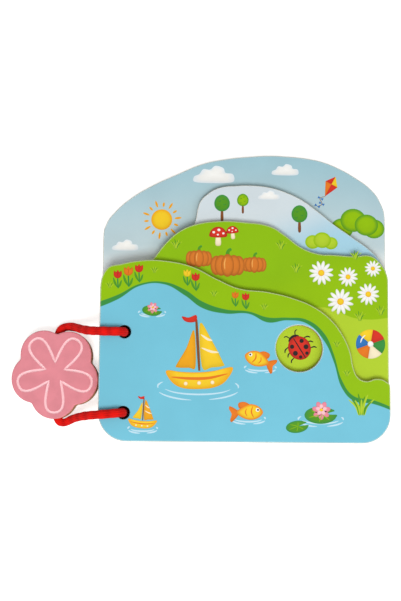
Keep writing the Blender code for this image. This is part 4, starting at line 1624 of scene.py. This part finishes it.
@dataclass(frozen=True)
class Flower:
    """The flower grip: round petals, a grooved line on both faces and a bore for the cord."""

    petals: int = 5
    petal_orbit: float = 0.01085
    petal_radius: float = 0.01213
    petal_steps: int = 34
    notch_radius: float = 0.0020
    notch_steps: int = 8
    thickness: float = 0.011
    place: Place = (-0.098149, -0.04125, 0.0055)
    height_share: float = 1.04
    outline_turn: float = -2.0
    bore_radius: float = 0.0030
    mouth_radius: float = 0.0040
    mouth_depth: float = 0.0045
    mouth_lip: float = 0.0015
    tool_overrun: float = 0.002
    line_inner: float = 0.0052
    line_outer: float = 0.0199
    line_width: float = 0.0014
    line_depth: float = 0.0004
    line_steps: int = 10
    tube_rounding: int = 6
    bore_steps: int = 48
    smooth_angle: float = 40

    def notch_orbit(self) -> float:
        """Return how far the notch rounding's centre is from the middle."""
        half = math.pi / self.petals
        reach, side = self.petal_radius + self.notch_radius, self.petal_orbit * math.sin(half)
        return self.petal_orbit * math.cos(half) + math.sqrt(reach**2 - side**2)

    def as_cut(self, x: float, y: float, degrees: float) -> Point:
        """Return a point of the regular flower, turned, as it lies on the real one."""
        across, up = turned(x, y, degrees)
        return across, up * self.height_share

    def outline(self) -> list[Point]:
        """Return the outline of petals and rounded notches."""
        half, orbit = 180 / self.petals, self.notch_orbit()
        across, up = turned(orbit, 0, half)
        toward = math.degrees(math.atan2(up, across - self.petal_orbit))
        points = []
        for petal in range(self.petals):
            axis = 2 * half * petal - 90
            notch = axis + half
            radius, centre = self.petal_radius, turned(self.petal_orbit, 0, axis)
            points += arc(radius, radius, axis - toward, axis + toward, self.petal_steps, centre)
            radius, centre, spread = self.notch_radius, turned(orbit, 0, notch), toward - half
            facing = notch + 180
            points += arc(radius, radius, facing + spread, facing - spread, self.notch_steps, centre)[1:-1]
        return [self.as_cut(*point, self.outline_turn) for point in points]

    def line(self) -> list[Point]:
        """Return the closed line that draws the petals, of two curved sides for each."""
        reach = self.line_outer
        inner = Vector(turned(1, 0, 180 / self.petals)) * self.line_inner
        waist, tip, side = Vector((reach * 0.47, reach * 0.20)), Vector((reach, 0)), Vector((0, reach * 0.37))
        flip = Vector((1, -1))
        sides = (inner * flip, waist * flip, tip - side, tip), (tip, tip + side, waist, inner)
        points = []
        for petal in range(self.petals):
            for a, b, c, d in sides:
                for step in range(self.line_steps):
                    t = step / self.line_steps
                    spot = a * (1 - t) ** 3 + b * 3 * (1 - t) ** 2 * t + c * 3 * (1 - t) * t**2 + d * t**3
                    points.append(self.as_cut(*spot, 360 / self.petals * petal - 90))
        return points

    def bore_tool(self) -> Piece:
        """Return the turned tool for the bore and its mouths."""
        top = (self.notch_orbit() - self.notch_radius) * self.height_share + self.mouth_lip
        foot = -(self.petal_orbit + self.petal_radius) * self.height_share
        over, mouth, bore = self.tool_overrun, self.mouth_radius, self.bore_radius
        profile = (
            (0, top + over), (mouth, top + over), (mouth, top), (bore, top - self.mouth_depth),
            (bore, foot + self.mouth_depth), (mouth, foot), (mouth, foot - over), (0, foot - over),
        )
        shape = bmesh.new()
        corners = [shape.verts.new((radius, y, 0)) for radius, y in profile]
        for pair in zip(corners, corners[1:]):
            shape.edges.new(pair)
        turn = {"axis": (0, 1, 0), "cent": (0, 0, 0), "angle": 2 * math.pi, "steps": self.bore_steps}
        bmesh.ops.spin(shape, geom=shape.verts[:] + shape.edges[:], **turn)
        return solid("bore_tool", shape)

    def line_tool(self, side: int, line_paint: Material) -> Piece:
        """Return the tube that cuts the grooved line into one face and leaves its paint."""
        radius = (self.line_width**2 / 4 + self.line_depth**2) / (2 * self.line_depth)
        curve = bpy.data.curves.new("line_tool", "CURVE")
        curve.dimensions = "3D"
        curve.bevel_depth = radius
        curve.bevel_resolution = self.tube_rounding
        add_loop(curve, self.line(), side * (self.thickness / 2 + radius - self.line_depth))
        tool = flatten(link("line_tool", curve))
        tool.data.materials.append(line_paint)
        return tool

    def build(self) -> list[Piece]:
        """Return the flower's one piece, riding on its body."""
        curve = flat_curve("flower_grip_body", self.thickness)
        add_loop(curve, self.outline())
        flower = plate(curve, 0.0, PinkFinish().build())
        line_paint = LineFinish().build()
        tools = [self.bore_tool(), self.line_tool(1, line_paint), self.line_tool(-1, line_paint)]
        flower = cut_out(flower, tools)
        flower.data.transform(Matrix.Translation(self.place))
        soften(flower, self.smooth_angle)
        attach(flower, "flower")
        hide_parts("flower_grip")
        return [flower]


@dataclass(frozen=True)
class Lamp:
    """A soft square lamp that faces the book."""

    name: str
    place: Place
    size: float
    power: float

    def build(self) -> None:
        """Hang the lamp."""
        data = bpy.data.lights.new(self.name, "AREA")
        data.shape = "SQUARE"
        data.size = self.size
        data.energy = self.power
        obj = link(self.name, data)
        obj.location = self.place
        obj.rotation_euler = (-Vector(self.place)).to_track_quat("-Z", "Y").to_euler()


@dataclass(frozen=True)
class Studio:
    """The camera, the lamps, the room's light and the pale table."""

    camera_place: Place = (-0.02296, -0.06415, 0.59372)
    tilt: float = math.radians(6.0)
    roll: float = 0.0091
    focal: float = 67.17
    sensor: float = 36.0
    room_light: float = 0.36
    table_half: float = 3.0
    table_top: float = -0.0002
    lamps: tuple[Lamp, ...] = (
        Lamp("key", (-0.08, -0.54, 1.15), 0.45, 8.4),
        Lamp("fill", (0.55, -0.35, 1.15), 0.9, 4.0),
    )

    def camera(self) -> None:
        """Put the camera where the photograph was taken from."""
        data = bpy.data.cameras.new("camera")
        data.lens = self.focal
        data.sensor_width = self.sensor
        data.clip_start = 0.01
        obj = link("camera", data)
        turn = Matrix.Rotation(self.tilt, 4, "X") @ Matrix.Rotation(self.roll, 4, "Z")
        obj.matrix_world = Matrix.Translation(self.camera_place) @ turn
        bpy.context.scene.camera = obj

    def world(self) -> None:
        """Give the room an even pale light, white where the camera sees it."""
        world = bpy.data.worlds.new("pale_room")
        world.use_nodes = True
        net = Net(world.node_tree)
        strength = net.add("ShaderNodeMapRange", {0: net.seen(), 3: self.room_light, 4: 1.0})
        background = world.node_tree.nodes["Background"].inputs
        net.feed(background["Color"], (1, 1, 1, 1))
        net.feed(background["Strength"], strength.outputs[0])
        bpy.context.scene.world = world

    def table(self) -> None:
        """Lay the pale table under the book."""
        mesh = bpy.data.meshes.new("table")
        corners = ((-1, -1), (1, -1), (1, 1), (-1, 1))
        places = [(x * self.table_half, y * self.table_half, self.table_top) for x, y in corners]
        mesh.from_pydata(places, [], [(0, 1, 2, 3)])
        mesh.materials.append(FloorFinish().build())
        link("table", mesh)

    def build(self) -> None:
        """Set up the whole studio."""
        self.camera()
        self.world()
        self.table()
        for lamp in self.lamps:
            lamp.build()
        bpy.context.scene.view_settings.view_transform = "Standard"


def main() -> None:
    """Build the studio and the book, and report each piece."""
    Studio().build()
    ink, repeated = InkFinish().build(), repeat_tree()
    pieces = CordLoop(cord_tree(), CottonFinish().build()).build()
    for leaf in (BACK_LEAF, THIRD_LEAF, SECOND_LEAF, FRONT_LEAF):
        pieces += leaf.build(ink, repeated)
    pieces += Flower().build()
    for piece in pieces:
        log.info("%s: %d faces", piece.name, len(piece.data.polygons))


if __name__ == "__main__":
    main()
